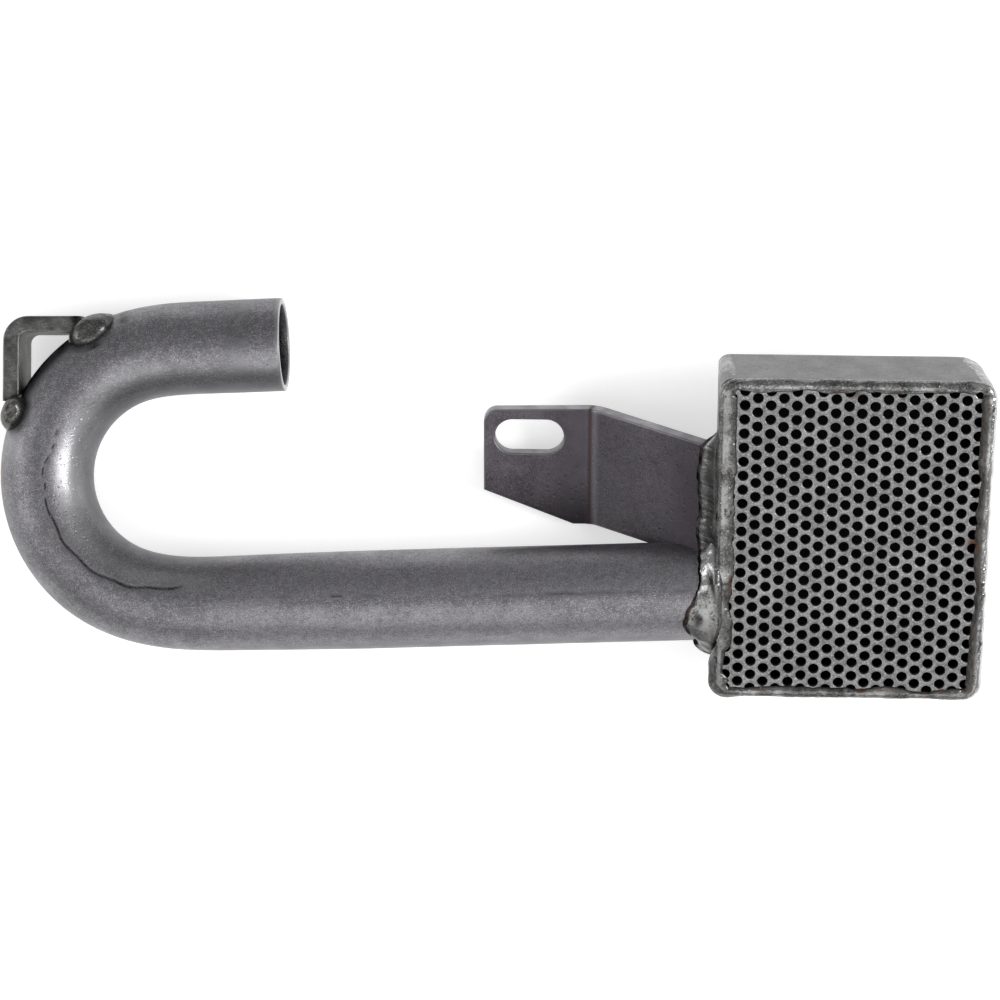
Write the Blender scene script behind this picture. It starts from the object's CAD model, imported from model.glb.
"""Looks of the oil pickup tube: bare steel, punched screen, welds with their ripples, soot and tint.

Lengths are in metres. The hook frame has its origin where the tube meets the housing wall, X along
the lower leg and Z up. The housing frame has its origin at the middle of the housing, with X across,
Y up and Z out of the screen. Every piece is worked out in one of the two and then laid in the world.
"""

import itertools
import logging
import math
from dataclasses import dataclass, field
from enum import Enum

import bmesh
import bpy
import numpy as np
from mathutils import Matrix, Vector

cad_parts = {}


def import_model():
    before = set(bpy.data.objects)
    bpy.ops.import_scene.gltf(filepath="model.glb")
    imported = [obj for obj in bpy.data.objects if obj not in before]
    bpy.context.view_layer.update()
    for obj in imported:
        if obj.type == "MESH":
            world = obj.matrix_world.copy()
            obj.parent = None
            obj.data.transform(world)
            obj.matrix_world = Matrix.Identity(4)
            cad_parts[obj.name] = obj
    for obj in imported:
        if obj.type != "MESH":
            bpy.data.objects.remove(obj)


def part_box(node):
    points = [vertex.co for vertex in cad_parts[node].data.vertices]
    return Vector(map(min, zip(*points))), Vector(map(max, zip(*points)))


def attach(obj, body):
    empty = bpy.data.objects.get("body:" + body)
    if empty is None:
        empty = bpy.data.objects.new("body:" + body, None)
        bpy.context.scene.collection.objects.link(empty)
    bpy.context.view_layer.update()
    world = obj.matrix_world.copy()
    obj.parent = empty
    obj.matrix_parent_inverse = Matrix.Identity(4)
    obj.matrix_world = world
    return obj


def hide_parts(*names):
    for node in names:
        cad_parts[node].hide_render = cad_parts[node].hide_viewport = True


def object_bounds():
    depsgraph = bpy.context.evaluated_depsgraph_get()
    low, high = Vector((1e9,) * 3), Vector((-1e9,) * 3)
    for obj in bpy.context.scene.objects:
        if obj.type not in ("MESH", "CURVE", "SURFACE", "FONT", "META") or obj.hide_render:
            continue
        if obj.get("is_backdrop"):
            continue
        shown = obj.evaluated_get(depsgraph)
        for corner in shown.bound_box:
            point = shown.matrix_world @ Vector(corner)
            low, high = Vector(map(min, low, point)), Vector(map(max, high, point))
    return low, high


MM = 0.001
LATTICE = 24
SAME_PLACE = 0.0005 * MM
STITCH = 0.002 * MM
LOG = logging.getLogger("oil_pickup_tube")

Array = np.ndarray
Masks = dict[str, Array]
Faces = list[tuple[int, ...]]
Colour = tuple[float, float, float, float]
Thing = bpy.types.Object
Tree = bpy.types.NodeTree
Node = bpy.types.Node
Socket = bpy.types.NodeSocket
Source = float | Colour | Socket


class Slot(Enum):
    """The record's material slots."""

    TUBE = "tube_steel"
    BAR = "bar_steel"
    SHEET = "sheet_steel"
    SCREEN = "screen_steel"
    BRACKET = "bracket_steel"
    WELD = "weld_steel"


def unit(value: Array) -> Array:
    """The value, held between 0 and 1."""
    return np.clip(value, 0.0, 1.0)


def smooth_step(value: Array) -> Array:
    """Rises from 0 to 1 with flat ends: 3v^2 - 2v^3 on v held between 0 and 1."""
    value = unit(value)
    return value * value * (3.0 - 2.0 * value)


def ramp(value: Array, start: float, width: float) -> Array:
    """Rises smoothly from 0 at the start to 1 a width further on."""
    return smooth_step((value - start) / width)


def bump(distance: Array, width: float) -> Array:
    """A soft hill of height 1 at distance 0 that fades with exp(-(d / width)^2)."""
    return np.exp(-((distance / width) ** 2))


def plateau(distance: Array, half: float, width: float) -> Array:
    """A hill that is flat up to a half width and then fades as a bump does."""
    return bump(np.maximum(np.abs(distance) - half, 0), width)


def coins(angle: Array) -> Array:
    """Ripples like a row of coins, |sin(angle)|^0.7 - 0.6: round tops and sharp valleys."""
    return np.abs(np.sin(angle)) ** 0.7 - 0.6


def noise(points: Array, cell: float, seed: int) -> Array:
    """Smooth random field between -1 and 1.

    Random numbers sit on a cubic lattice that repeats, and each point blends the eight round it with
    smooth steps of its place in the cell.

    Args:
        points: Places, with x, y and z in the last axis.
        cell: Size of one lattice cell, in the same unit.
        seed: Which random lattice is used.

    Returns:
        One value for each point.
    """
    lattice = np.random.default_rng(seed).uniform(-1.0, 1.0, (LATTICE, LATTICE, LATTICE))
    scaled = points / cell
    low = np.floor(scaled).astype(int)
    share = smooth_step(scaled - low)
    total = np.zeros(points.shape[:-1])
    for corner in itertools.product((0, 1), repeat=3):
        index = (low + np.array(corner)) % LATTICE
        weight = np.prod(np.where(np.array(corner) == 1, share, 1.0 - share), axis=-1)
        total += lattice[index[..., 0], index[..., 1], index[..., 2]] * weight
    return total


def rough(points: Array, cell: float, seed: int, layers: int = 3) -> Array:
    """Noise in layers: each has half the cell and half the height of the one before.

    Args:
        points: Places, with x, y and z in the last axis.
        cell: Size of the first layer's cell.
        seed: Which random lattice the first layer uses. Each next layer uses the next one.
        layers: Number of layers.

    Returns:
        One value for each point.
    """
    total = np.zeros(points.shape[:-1])
    for layer in range(layers):
        total += noise(points, cell / 2**layer, seed + layer) / 2**layer
    return total


def spots(points: Array, cell: float, seed: int, level: float, layers: int = 3) -> Array:
    """How far layered noise stands over a level, held between 0 and 1."""
    return unit(rough(points, cell, seed, layers) - level)


def grid_faces(rows: int, columns: int, close_rows: bool, close_columns: bool) -> Array:
    """Quads of a grid of points numbered row by row.

    Args:
        rows: Number of rows.
        columns: Number of points in a row.
        close_rows: Whether the last row joins the first.
        close_columns: Whether each row is a ring.

    Returns:
        Four point numbers for each quad.
    """
    row = np.arange(rows if close_rows else rows - 1)[:, None]
    column = np.arange(columns if close_columns else columns - 1)[None, :]
    next_row = (row + 1) % rows * columns
    next_column = (column + 1) % columns
    row = row * columns
    corners = [row + column, row + next_column, next_row + next_column, next_row + column]
    return np.stack(corners, axis=-1).reshape(-1, 4)


def long_round(length: float, width: float) -> Array:
    """The outline of a slot about its middle: two half circles joined by straight sides.

    Args:
        length: Its whole length, along X.
        width: Its width.

    Returns:
        X and Y of each corner.
    """
    angle = np.linspace(-math.pi / 2, math.pi / 2, 24)
    reach, radius = (length - width) / 2, width / 2
    right = np.column_stack([reach + radius * np.cos(angle), radius * np.sin(angle)])
    return np.concatenate([right, -right])


def stop_corners(stops: list[tuple[Array, Array]]) -> Array:
    """The stops of a section as points, with section, stop and coordinate as its axes."""
    pairs = [np.stack(np.broadcast_arrays(first, second), axis=-1) for first, second in stops]
    return np.stack(np.broadcast_arrays(*pairs), axis=1)


def spline_ring(corners: Array, steps: int) -> Array:
    """A closed curve through corner points, as Catmull-Rom cubics.

    Args:
        corners: Points with the corner number in the second last axis.
        steps: Points made between two corners.

    Returns:
        The curve's points, steps for each corner.
    """
    before = np.roll(corners, 1, axis=-2)
    after = np.roll(corners, -1, axis=-2)
    beyond = np.roll(corners, -2, axis=-2)
    share = (np.arange(steps) / steps)[:, None]
    blend = [
        ((-share + 2 * share**2 - share**3) / 2, before),
        ((2 - 5 * share**2 + 3 * share**3) / 2, corners),
        ((share + 4 * share**2 - 3 * share**3) / 2, after),
        ((share**3 - share**2) / 2, beyond),
    ]
    points = sum(weight * stop[..., :, None, :] for weight, stop in blend)
    return points.reshape(*corners.shape[:-2], -1, corners.shape[-1])


@dataclass(frozen=True)
class Placement:
    """A frame in the world: a rotation and an origin."""

    rotation: Array
    origin: Array

    def world(self, points: Array) -> Array:
        """The points of this frame in world coordinates."""
        return points @ self.rotation.T + self.origin


def add(name: str, data: bpy.types.ID) -> Thing:
    """A new object in the scene.

    Args:
        name: Its name.
        data: Its mesh, curve, lamp or camera.

    Returns:
        The object.
    """
    thing = bpy.data.objects.new(name, data)
    bpy.context.scene.collection.objects.link(thing)
    return thing


def finished(thing: Thing) -> bpy.types.Mesh:
    """The mesh of an object with its modifiers or its bevel worked out."""
    graph = bpy.context.evaluated_depsgraph_get()
    return bpy.data.meshes.new_from_object(thing.evaluated_get(graph))


def turn(axis: str, angle: float) -> Array:
    """Rotation matrix about one axis.

    Args:
        axis: X, Y or Z.
        angle: Angle in radians.

    Returns:
        A matrix of three rows.
    """
    cos, sin = math.cos(angle), math.sin(angle)
    if axis == "X":
        return np.array([[1, 0, 0], [0, cos, -sin], [0, sin, cos]])
    if axis == "Y":
        return np.array([[cos, 0, sin], [0, 1, 0], [-sin, 0, cos]])
    return np.array([[cos, -sin, 0], [sin, cos, 0], [0, 0, 1]])


@dataclass(frozen=True)
class Layout:
    """Sizes that several pieces share, and where the two frames lie."""

    tube_radius: float = 9.525 * MM
    tube_wall: float = 1.25 * MM
    lower_leg: float = 92.5 * MM
    upper_leg: float = 15.4 * MM
    bend_radius: float = 24.1 * MM
    run_in: float = 24.0 * MM
    run_out: float = 15.2 * MM
    bend_turn: float = math.radians(179.6)
    bend_squash: float = 0.94
    mouth_squash: float = 0.95
    squash_run: float = 30.0 * MM
    width: float = 50.8 * MM
    height: float = 63.5 * MM
    depth: float = 19.05 * MM
    roll: float = math.radians(20.2)
    yaw: float = math.radians(2.4)
    sheet: float = 1.5 * MM
    inlet_offset: float = 13.5 * MM
    screen_thickness: float = 1.2 * MM
    screen_sink: float = 0.7 * MM
    gap: float = 0.3 * MM

    @property
    def screen_face(self) -> float:
        """Height of the screen's front above the housing's middle."""
        return self.depth / 2 - self.screen_sink

    @property
    def rim(self) -> float:
        """Height of the tray's rim."""
        return self.screen_face - self.screen_thickness - self.gap

    @property
    def wall_x(self) -> float:
        """The left wall of the housing."""
        return -self.width / 2

    def wall_beside(self, y: Array, z: Array) -> Array:
        """X of the housing wall, less the gap, beside points of the hook frame.

        Args:
            y: Their Y.
            z: Their Z.

        Returns:
            X at each point.
        """
        lean = math.sin(self.yaw) * (y * math.cos(self.roll) + z * math.sin(self.roll))
        return (lean - self.gap) / math.cos(self.yaw)

    def bend_line(self, samples: int = 600) -> tuple[Array, Array, Array, Array]:
        """Distance, X, Y and heading along the bend, from its start at the origin towards -X.

        The curvature grows over the run in, holds, and fades over the run out. The heading is the
        integral of the curvature, and the points are the integral of the heading.

        Args:
            samples: Number of places along the bend.

        Returns:
            Four arrays with one number for each place.
        """
        length = self.bend_turn * self.bend_radius + (self.run_in + self.run_out) / 2
        distance = np.linspace(0.0, length, samples)
        growth = np.minimum(distance / self.run_in, (length - distance) / self.run_out)
        curvature = np.minimum(growth, 1.0) / self.bend_radius
        step = np.diff(distance)
        turned = np.concatenate([[0.0], np.cumsum((curvature[1:] + curvature[:-1]) / 2 * step)])
        heading = math.pi - turned
        middle = (heading[1:] + heading[:-1]) / 2
        x = np.concatenate([[0.0], np.cumsum(np.cos(middle) * step)])
        y = np.concatenate([[0.0], np.cumsum(np.sin(middle) * step)])
        return distance, x, y, heading

    def bend_centre(self) -> Array:
        """The middle of the round part of the bend, in the hook frame.

        Returns:
            X, Y and Z.
        """
        _, x, y, _ = self.bend_line()
        leftmost = int(np.argmin(x))
        return np.array([x[leftmost] + self.bend_radius - self.lower_leg, y[leftmost], 0.0])

    def pitch(self) -> float:
        """How far the hook tips so that the bend and the housing's lower back edge touch the table.

        Returns:
            The angle in radians.
        """
        below = self.height / 2 - self.inlet_offset
        housing_drop = below * math.sin(self.roll) + self.depth / 2 * math.cos(self.roll)
        bend_drop = self.tube_radius * (2.0 - self.bend_squash)
        _, x, _, _ = self.bend_line()
        return math.atan2(housing_drop - bend_drop, self.lower_leg - float(np.min(x)))

    def placements(self) -> tuple[Placement, Placement]:
        """The two frames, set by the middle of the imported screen.

        Returns:
            The hook frame and the housing frame.
        """
        hook = turn("Y", -self.pitch())
        joint = hook @ turn("Z", -self.yaw) @ turn("X", self.roll)
        to_housing = joint @ np.array([self.width / 2, self.inlet_offset, 0.0])
        low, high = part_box("perforated_screen")
        screen = (np.array(low) + np.array(high)) / 2
        screen_middle = np.array([0.0, 0.0, self.screen_face - self.screen_thickness / 2])
        housing_origin = screen - joint @ screen_middle
        return Placement(hook, housing_origin - to_housing), Placement(joint, housing_origin)


class Net:
    """Short ways to add nodes to one node tree."""

    def __init__(self, tree: Tree) -> None:
        """Keeps the tree."""
        self.tree = tree

    def node(self, kind: str) -> Node:
        """A new node of this kind."""
        return self.tree.nodes.new(kind)

    def ends(self) -> tuple[Node, Node]:
        """A group's input and output nodes."""
        return self.node("NodeGroupInput"), self.node("NodeGroupOutput")

    def link(self, source: Socket, target: Socket) -> None:
        """Joins an output to an input."""
        self.tree.links.new(source, target)

    def put(self, value: Source, target: Socket) -> None:
        """Sets an input to a number, a colour or another node's output.

        Args:
            value: What the input gets.
            target: The input.
        """
        if isinstance(value, Socket):
            self.link(value, target)
        else:
            target.default_value = value

    def math(self, operation: str, first: Source, second: Source = 0.0) -> Socket:
        """One sum of two values.

        Args:
            operation: The Math node's operation.
            first: Its first value.
            second: Its second value.

        Returns:
            The result.
        """
        node = self.node("ShaderNodeMath")
        node.operation = operation
        self.put(first, node.inputs[0])
        self.put(second, node.inputs[1])
        return node.outputs[0]

    def times(self, first: Source, second: Source) -> Socket:
        """The product of two values."""
        return self.math("MULTIPLY", first, second)

    def plus(self, first: Source, second: Source) -> Socket:
        """The sum of two values."""
        return self.math("ADD", first, second)

    def minus(self, first: Source, second: Source) -> Socket:
        """The first value less the second."""
        return self.math("SUBTRACT", first, second)

    def spread(self, value: Source, low: float, high: float, start: float = 0.0, end: float = 1.0) -> Socket:
        """Maps low..high to start..end and clips outside.

        Args:
            value: What is mapped.
            low: Where it starts to count.
            high: Where it has its full effect.
            start: The result at low and below.
            end: The result at high and above.

        Returns:
            The result.
        """
        node = self.node("ShaderNodeMapRange")
        self.put(value, node.inputs["Value"])
        for name, number in (("From Min", low), ("From Max", high), ("To Min", start), ("To Max", end)):
            node.inputs[name].default_value = number
        return node.outputs["Result"]

    def noise(self, vector: Socket, scale: Source, detail: float, roughness: float) -> Socket:
        """A noise texture's value.

        Args:
            vector: Where it is read.
            scale: Its fineness.
            detail: How many finer layers it has.
            roughness: How strong they are.

        Returns:
            The value.
        """
        node = self.node("ShaderNodeTexNoise")
        self.put(vector, node.inputs["Vector"])
        self.put(scale, node.inputs["Scale"])
        node.inputs["Detail"].default_value = detail
        node.inputs["Roughness"].default_value = roughness
        return node.outputs["Fac"]

    def mix(self, share: Source, first: Source, second: Source) -> Socket:
        """A blend of two colours.

        Args:
            share: How much of the second there is.
            first: The first colour.
            second: The second colour.

        Returns:
            The blend.
        """
        node = self.node("ShaderNodeMix")
        node.data_type = "RGBA"
        self.put(share, node.inputs[0])
        self.put(first, node.inputs[6])
        self.put(second, node.inputs[7])
        return node.outputs[2]

    def attribute(self, name: str) -> Socket:
        """A number that the mesh carries at each point."""
        node = self.node("ShaderNodeAttribute")
        node.attribute_name = name
        return node.outputs["Fac"]

    def place(self, stretch: float = 1.0, turned: float = 0.0) -> Socket:
        """Object coordinates, turned about Z and stretched along Y.

        Args:
            stretch: How many times finer the pattern is along Y.
            turned: Angle in radians.

        Returns:
            The coordinates.
        """
        where = self.node("ShaderNodeTexCoord")
        mapping = self.node("ShaderNodeMapping")
        self.link(where.outputs["Object"], mapping.inputs["Vector"])
        mapping.inputs["Scale"].default_value = (1.0, stretch, 1.0)
        mapping.inputs["Rotation"].default_value = (0.0, 0.0, turned)
        return mapping.outputs["Vector"]

    def shared(self, tree: Tree, vector: Socket, **values: float) -> Node:
        """A shared group with this finish's own values.

        Args:
            tree: The group.
            vector: Where its pattern is read.
            **values: The group's numbers by name.

        Returns:
            The group's node.
        """
        node = self.node("ShaderNodeGroup")
        node.node_tree = tree
        self.put(vector, node.inputs["Vector"])
        for label, value in values.items():
            node.inputs[label].default_value = value
        return node


class Effects:
    """Shader node groups that all the finishes share, each built once."""

    def __init__(self) -> None:
        """Builds the three groups."""
        self.grain = self.build_grain()
        self.pits = self.build_pits()
        self.strokes = self.build_strokes()

    @staticmethod
    def group(name: str, inputs: dict[str, float], outputs: tuple[str, ...]) -> Tree:
        """A new group with a Vector input, number inputs and number outputs.

        Args:
            name: The group's name.
            inputs: Its number inputs and their usual values.
            outputs: Its outputs.

        Returns:
            The group's tree, with no nodes yet.
        """
        tree = bpy.data.node_groups.new(name, "ShaderNodeTree")
        tree.interface.new_socket(name="Vector", in_out="INPUT", socket_type="NodeSocketVector")
        for label, value in inputs.items():
            socket = tree.interface.new_socket(name=label, in_out="INPUT", socket_type="NodeSocketFloat")
            socket.default_value = value
        for label in outputs:
            tree.interface.new_socket(name=label, in_out="OUTPUT", socket_type="NodeSocketFloat")
        return tree

    def build_grain(self) -> Tree:
        """Fine speckle of rolled steel: two sizes of noise, as tone, height, slow cloud and bright flecks."""
        sizes = {"Fine": 4200.0, "Coarse": 900.0}
        tree = self.group("steel_grain", sizes, ("Tone", "Height", "Cloud", "Fleck"))
        net = Net(tree)
        start, end = net.ends()
        fine = net.noise(start.outputs["Vector"], start.outputs["Fine"], 2.0, 0.7)
        coarse = net.noise(start.outputs["Vector"], start.outputs["Coarse"], 3.0, 0.6)
        cloud = net.noise(start.outputs["Vector"], 190.0, 3.0, 0.5)
        tone = net.plus(net.times(fine, 0.7), net.times(coarse, 0.3))
        net.link(net.spread(tone, 0.38, 0.60), end.inputs["Tone"])
        net.link(fine, end.inputs["Height"])
        net.link(net.spread(cloud, 0.35, 0.65), end.inputs["Cloud"])
        net.link(net.spread(fine, 0.60, 0.72), end.inputs["Fleck"])
        return tree

    def build_pits(self) -> Tree:
        """Scattered dark pits: the middles of some Voronoi cells, chosen by the red of each cell's colour."""
        tree = self.group("steel_pits", {"Scale": 900.0, "Share": 0.25}, ("Mask",))
        net = Net(tree)
        start, end = net.ends()
        cells = net.node("ShaderNodeTexVoronoi")
        net.link(start.outputs["Vector"], cells.inputs["Vector"])
        net.link(start.outputs["Scale"], cells.inputs["Scale"])
        parts = net.node("ShaderNodeSeparateColor")
        net.link(cells.outputs["Color"], parts.inputs["Color"])
        near = net.spread(cells.outputs["Distance"], 0.18, 0.36, 1.0, 0.0)
        chosen = net.math("LESS_THAN", parts.outputs["Red"], start.outputs["Share"])
        net.link(net.times(near, chosen), end.inputs["Mask"])
        return tree

    def build_strokes(self) -> Tree:
        """Scratches: noise stretched along one axis, of which only the thin middle band shows."""
        tree = self.group("strokes", {"Scale": 300.0, "Width": 0.02}, ("Mask",))
        net = Net(tree)
        start, end = net.ends()
        wavy = net.noise(start.outputs["Vector"], start.outputs["Scale"], 1.0, 0.5)
        away = net.math("ABSOLUTE", net.minus(wavy, 0.5))
        share = net.math("DIVIDE", away, start.outputs["Width"])
        net.link(net.spread(share, 0.0, 1.0, 1.0, 0.0), end.inputs["Mask"])
        return tree


def grey(value: float, red: float = 1.0, blue: float = 1.0) -> Colour:
    """A linear grey, with its red and blue scaled."""
    return (value * red, value, value * blue, 1.0)


@dataclass(frozen=True)
class Finish:
    """One steel finish. Tones are linear colours.

    The masks bright, dark, heat, rust, soot and coarse are numbers that each mesh carries at its points.
    """

    name: str
    base: Colour
    dark: Colour
    bright: Colour
    roughness: float
    metallic: float = 0.92
    fine: float = 4200.0
    coarse: float = 900.0
    cloud_shine: float = 0.08
    cloud_dull: float = 0.07
    fleck: float = 0.45
    pit_scale: float = 900.0
    pit_share: float = 0.2
    pit_depth: float = 1.2
    coarse_pits: float = 0.28
    coarse_contrast: float = 1.3
    bump_height: float = 0.04 * MM
    bump_strength: float = 0.7
    stroke_scale: float = 260.0
    stroke_turn: float = 0.0
    stroke_stretch: float = 14.0
    stroke_width: float = 0.012
    stroke_strength: float = 0.25
    ragged: float = 0.18
    dull: float = 0.25
    polish: float = -0.12
    sooty_edge: float = 0.08
    soot: Colour = (0.010, 0.008, 0.008, 1.0)
    rust: Colour = (0.085, 0.045, 0.030, 1.0)
    heat: Colour = (0.075, 0.055, 0.075, 1.0)

    def build(self, effects: Effects) -> bpy.types.Material:
        """The finish as a material.

        Args:
            effects: The shared node groups.

        Returns:
            A material that reads Object coordinates and the mesh's own masks.
        """
        material = bpy.data.materials.new(self.name)
        material.use_nodes = True
        net = Net(material.node_tree)
        shader = material.node_tree.nodes["Principled BSDF"]
        shader.inputs["Metallic"].default_value = self.metallic
        here = net.place()
        grain = net.shared(effects.grain, here, Fine=self.fine, Coarse=self.coarse)
        pits = net.shared(effects.pits, here, Scale=self.pit_scale)
        share = net.plus(net.times(net.attribute("coarse"), self.coarse_pits), self.pit_share)
        net.link(share, pits.inputs["Share"])
        along = net.place(self.stroke_stretch, self.stroke_turn)
        strokes = net.shared(effects.strokes, along, Scale=self.stroke_scale, Width=self.stroke_width)
        stroke = net.times(strokes.outputs["Mask"], self.stroke_strength)
        net.link(self.colour(net, grain, pits, stroke), shader.inputs["Base Color"])
        edge = net.mix(net.attribute("soot"), grey(1.0), grey(self.sooty_edge))
        net.link(edge, shader.inputs["Specular Tint"])
        net.link(self.dullness(net, grain), shader.inputs["Roughness"])
        net.link(self.relief(net, grain, pits, stroke), shader.inputs["Normal"])
        return material

    def colour(self, net: Net, grain: Node, pits: Node, stroke: Socket) -> Socket:
        """The steel's speckle, lightened by flecks and wear, with the tints laid over it.

        A tint's share grows with its mask, and the speckle frays it where the mask is about a half.

        Args:
            net: The material's tree.
            grain: The shared grain.
            pits: The shared pits.
            stroke: The strength of the scratches.

        Returns:
            The colour.
        """
        tone = net.minus(grain.outputs["Tone"], net.times(pits.outputs["Mask"], 0.7))
        deeper = net.times(net.minus(1.0, tone), net.attribute("coarse"))
        tone = net.minus(tone, net.times(deeper, self.coarse_contrast))
        colour = net.mix(net.spread(tone, 0.0, 1.0), self.dark, self.base)
        shine = net.times(grain.outputs["Cloud"], self.cloud_shine)
        coarser = net.plus(net.times(net.attribute("coarse"), 0.5), 1.0)
        fleck = net.times(grain.outputs["Fleck"], net.times(coarser, self.fleck))
        lighter = net.plus(net.plus(shine, stroke), net.plus(fleck, net.attribute("bright")))
        colour = net.mix(net.spread(lighter, 0.0, 1.0), colour, self.bright)
        tints = {"dark": self.dark, "heat": self.heat, "rust": self.rust, "soot": self.soot}
        for mask, tint in tints.items():
            frayed = net.plus(net.attribute(mask), net.spread(tone, 0.0, 1.0, -self.ragged, self.ragged))
            there = net.spread(net.attribute(mask), 0.0, 0.1)
            share = net.times(net.spread(frayed, 0.15, 0.85), there)
            colour = net.mix(share, colour, tint)
        return colour

    def dullness(self, net: Net, grain: Node) -> Socket:
        """The roughness: duller under soot and rust, and smoother where the steel is bright.

        Args:
            net: The material's tree.
            grain: The shared grain.

        Returns:
            The roughness.
        """
        cloudy = net.times(net.minus(0.5, grain.outputs["Cloud"]), self.cloud_dull)
        dull = net.times(net.math("MAXIMUM", net.attribute("soot"), net.attribute("rust")), self.dull)
        polish = net.times(net.attribute("bright"), self.polish)
        return net.plus(net.plus(cloudy, dull), net.plus(polish, self.roughness))

    def relief(self, net: Net, grain: Node, pits: Node, stroke: Socket) -> Socket:
        """The normal: the grain's height, less the pits and the scratches.

        Args:
            net: The material's tree.
            grain: The shared grain.
            pits: The shared pits.
            stroke: The strength of the scratches.

        Returns:
            The normal.
        """
        height = net.minus(grain.outputs["Height"], net.times(pits.outputs["Mask"], self.pit_depth))
        height = net.minus(height, net.times(stroke, 0.8))
        bumps = net.node("ShaderNodeBump")
        bumps.inputs["Strength"].default_value = self.bump_strength
        bumps.inputs["Distance"].default_value = self.bump_height
        net.link(height, bumps.inputs["Height"])
        return bumps.outputs["Normal"]


FINISHES = {
    Slot.TUBE: Finish(
        "tube_satin_steel", grey(0.225, 1.03, 1.06), grey(0.11, 1.03, 1.06), grey(0.42, 1.01, 1.02), 0.43,
        pit_scale=1500.0, pit_share=0.12, stroke_scale=170.0, stroke_strength=0.18,
    ),
    Slot.BAR: Finish(
        "sheared_bar_steel", grey(0.152, 1.02, 0.97), grey(0.055, 1.03, 0.97), grey(0.36, 1.0, 0.98), 0.46,
        fleck=0.7, pit_scale=1300.0, pit_share=0.3, stroke_scale=420.0, stroke_turn=math.pi / 2,
        stroke_stretch=16.0, stroke_width=0.05, stroke_strength=0.3,
    ),
    Slot.SHEET: Finish(
        "rolled_sheet_steel", grey(0.158, 1.01, 1.01), grey(0.100, 1.01, 1.01), grey(0.34), 0.41,
        fine=3000.0, fleck=0.15, pit_share=0.05, stroke_scale=240.0, stroke_strength=0.12,
    ),
    Slot.SCREEN: Finish(
        "punched_screen_steel", grey(0.20, 1.0, 1.01), grey(0.08, 1.0, 0.98), grey(0.62), 0.36,
        fine=3600.0, stroke_strength=0.0,
    ),
    Slot.BRACKET: Finish(
        "gunmetal_strip_steel", grey(0.098, 1.13, 1.15), grey(0.047, 1.14, 1.16), grey(0.26, 1.02, 1.04),
        0.46, fleck=0.5, stroke_scale=220.0, stroke_strength=0.12,
    ),
    Slot.WELD: Finish(
        "bright_weld_steel", grey(0.205, 1.0, 0.99), grey(0.05, 1.04, 0.95), grey(0.55, 1.0, 0.99), 0.27,
        fine=2600.0, fleck=0.3, pit_scale=1300.0, pit_share=0.3, bump_height=0.06 * MM, stroke_strength=0.0,
    ),
}

MASKS = ("bright", "dark", "heat", "rust", "soot", "coarse")
CORNERS = (("upper_left", -1, 1), ("upper_right", 1, 1), ("lower_left", -1, -1), ("lower_right", 1, -1))


@dataclass
class Workshop:
    """Turns point arrays into finished pieces of the model."""

    layout: Layout
    hook: Placement
    housing: Placement
    box: tuple[list[float], list[float]]
    effects: Effects = field(default_factory=Effects)
    materials: dict[Slot, bpy.types.Material] = field(default_factory=dict)

    def material(self, slot: Slot) -> bpy.types.Material:
        """The material of a slot, built at its first use."""
        if slot not in self.materials:
            self.materials[slot] = FINISHES[slot].build(self.effects)
        return self.materials[slot]

    def piece(
        self,
        name: str,
        slot: Slot,
        frame: Placement,
        points: Array,
        faces: Faces,
        masks: Masks,
        replaced: str,
        sharp: float | None = None,
    ) -> Thing:
        """A mesh piece at the origin, riding on the body, with its finish and its masks.

        Args:
            name: The piece's name.
            slot: The record's slot of its finish.
            frame: The frame of its points.
            points: Its points, which are held within the box of the CAD in the world.
            faces: Point numbers of its faces.
            masks: Numbers at the points for any of the finish's masks, held between 0 and 1.
            replaced: The CAD node that it stands for.
            sharp: Angle in degrees over which an edge is sharp, or None for all smooth.

        Returns:
            The new object.
        """
        mesh = bpy.data.meshes.new(name)
        held = np.clip(frame.world(points).reshape(-1, 3), self.box[0], self.box[1])
        mesh.from_pydata(held.tolist(), [], faces)
        for label in MASKS:
            layer = mesh.attributes.new(label, "FLOAT", "POINT")
            value = np.zeros(len(mesh.vertices)) + masks.get(label, np.zeros(1)).reshape(-1)
            layer.data.foreach_set("value", unit(value).astype(np.float32))
        self.face_outwards(mesh)
        mesh.shade_smooth()
        if sharp is not None:
            mesh.set_sharp_from_angle(angle=math.radians(sharp))
        mesh.materials.append(self.material(slot))
        piece = add(name, mesh)
        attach(piece, "root")
        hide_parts(replaced)
        LOG.info("%s: %d points, %d faces", name, len(mesh.vertices), len(mesh.polygons))
        return piece

    def weld(
        self,
        name: str,
        frame: Placement,
        bead: Array,
        masks: Masks,
        replaced: str,
        closed: bool = True,
    ) -> None:
        """A bead of weld, from the points of its sections.

        Args:
            name: The bead's name.
            frame: The frame of its points.
            bead: Its points, with section, stop and coordinate as the axes.
            masks: Its masks.
            replaced: The CAD node that it stands for.
            closed: Whether its last section joins the first. Otherwise both ends are filled.
        """
        rows, columns = bead.shape[:2]
        faces = quads(grid_faces(rows, columns, True, True)) if closed else capped(rows, columns)
        self.piece(name, Slot.WELD, frame, bead, faces, masks, replaced)

    @staticmethod
    def face_outwards(mesh: bpy.types.Mesh) -> None:
        """Joins points that coincide and turns every face outwards.

        Args:
            mesh: The mesh, which is changed.
        """
        body = bmesh.new()
        body.from_mesh(mesh)
        bmesh.ops.remove_doubles(body, verts=body.verts, dist=SAME_PLACE)
        bmesh.ops.dissolve_degenerate(body, edges=body.edges, dist=SAME_PLACE)
        bmesh.ops.recalc_face_normals(body, faces=body.faces)
        body.to_mesh(mesh)
        body.free()


def quads(faces: Array) -> Faces:
    """Face numbers as the tuples that a mesh takes."""
    return [tuple(face) for face in faces.tolist()]


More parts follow.
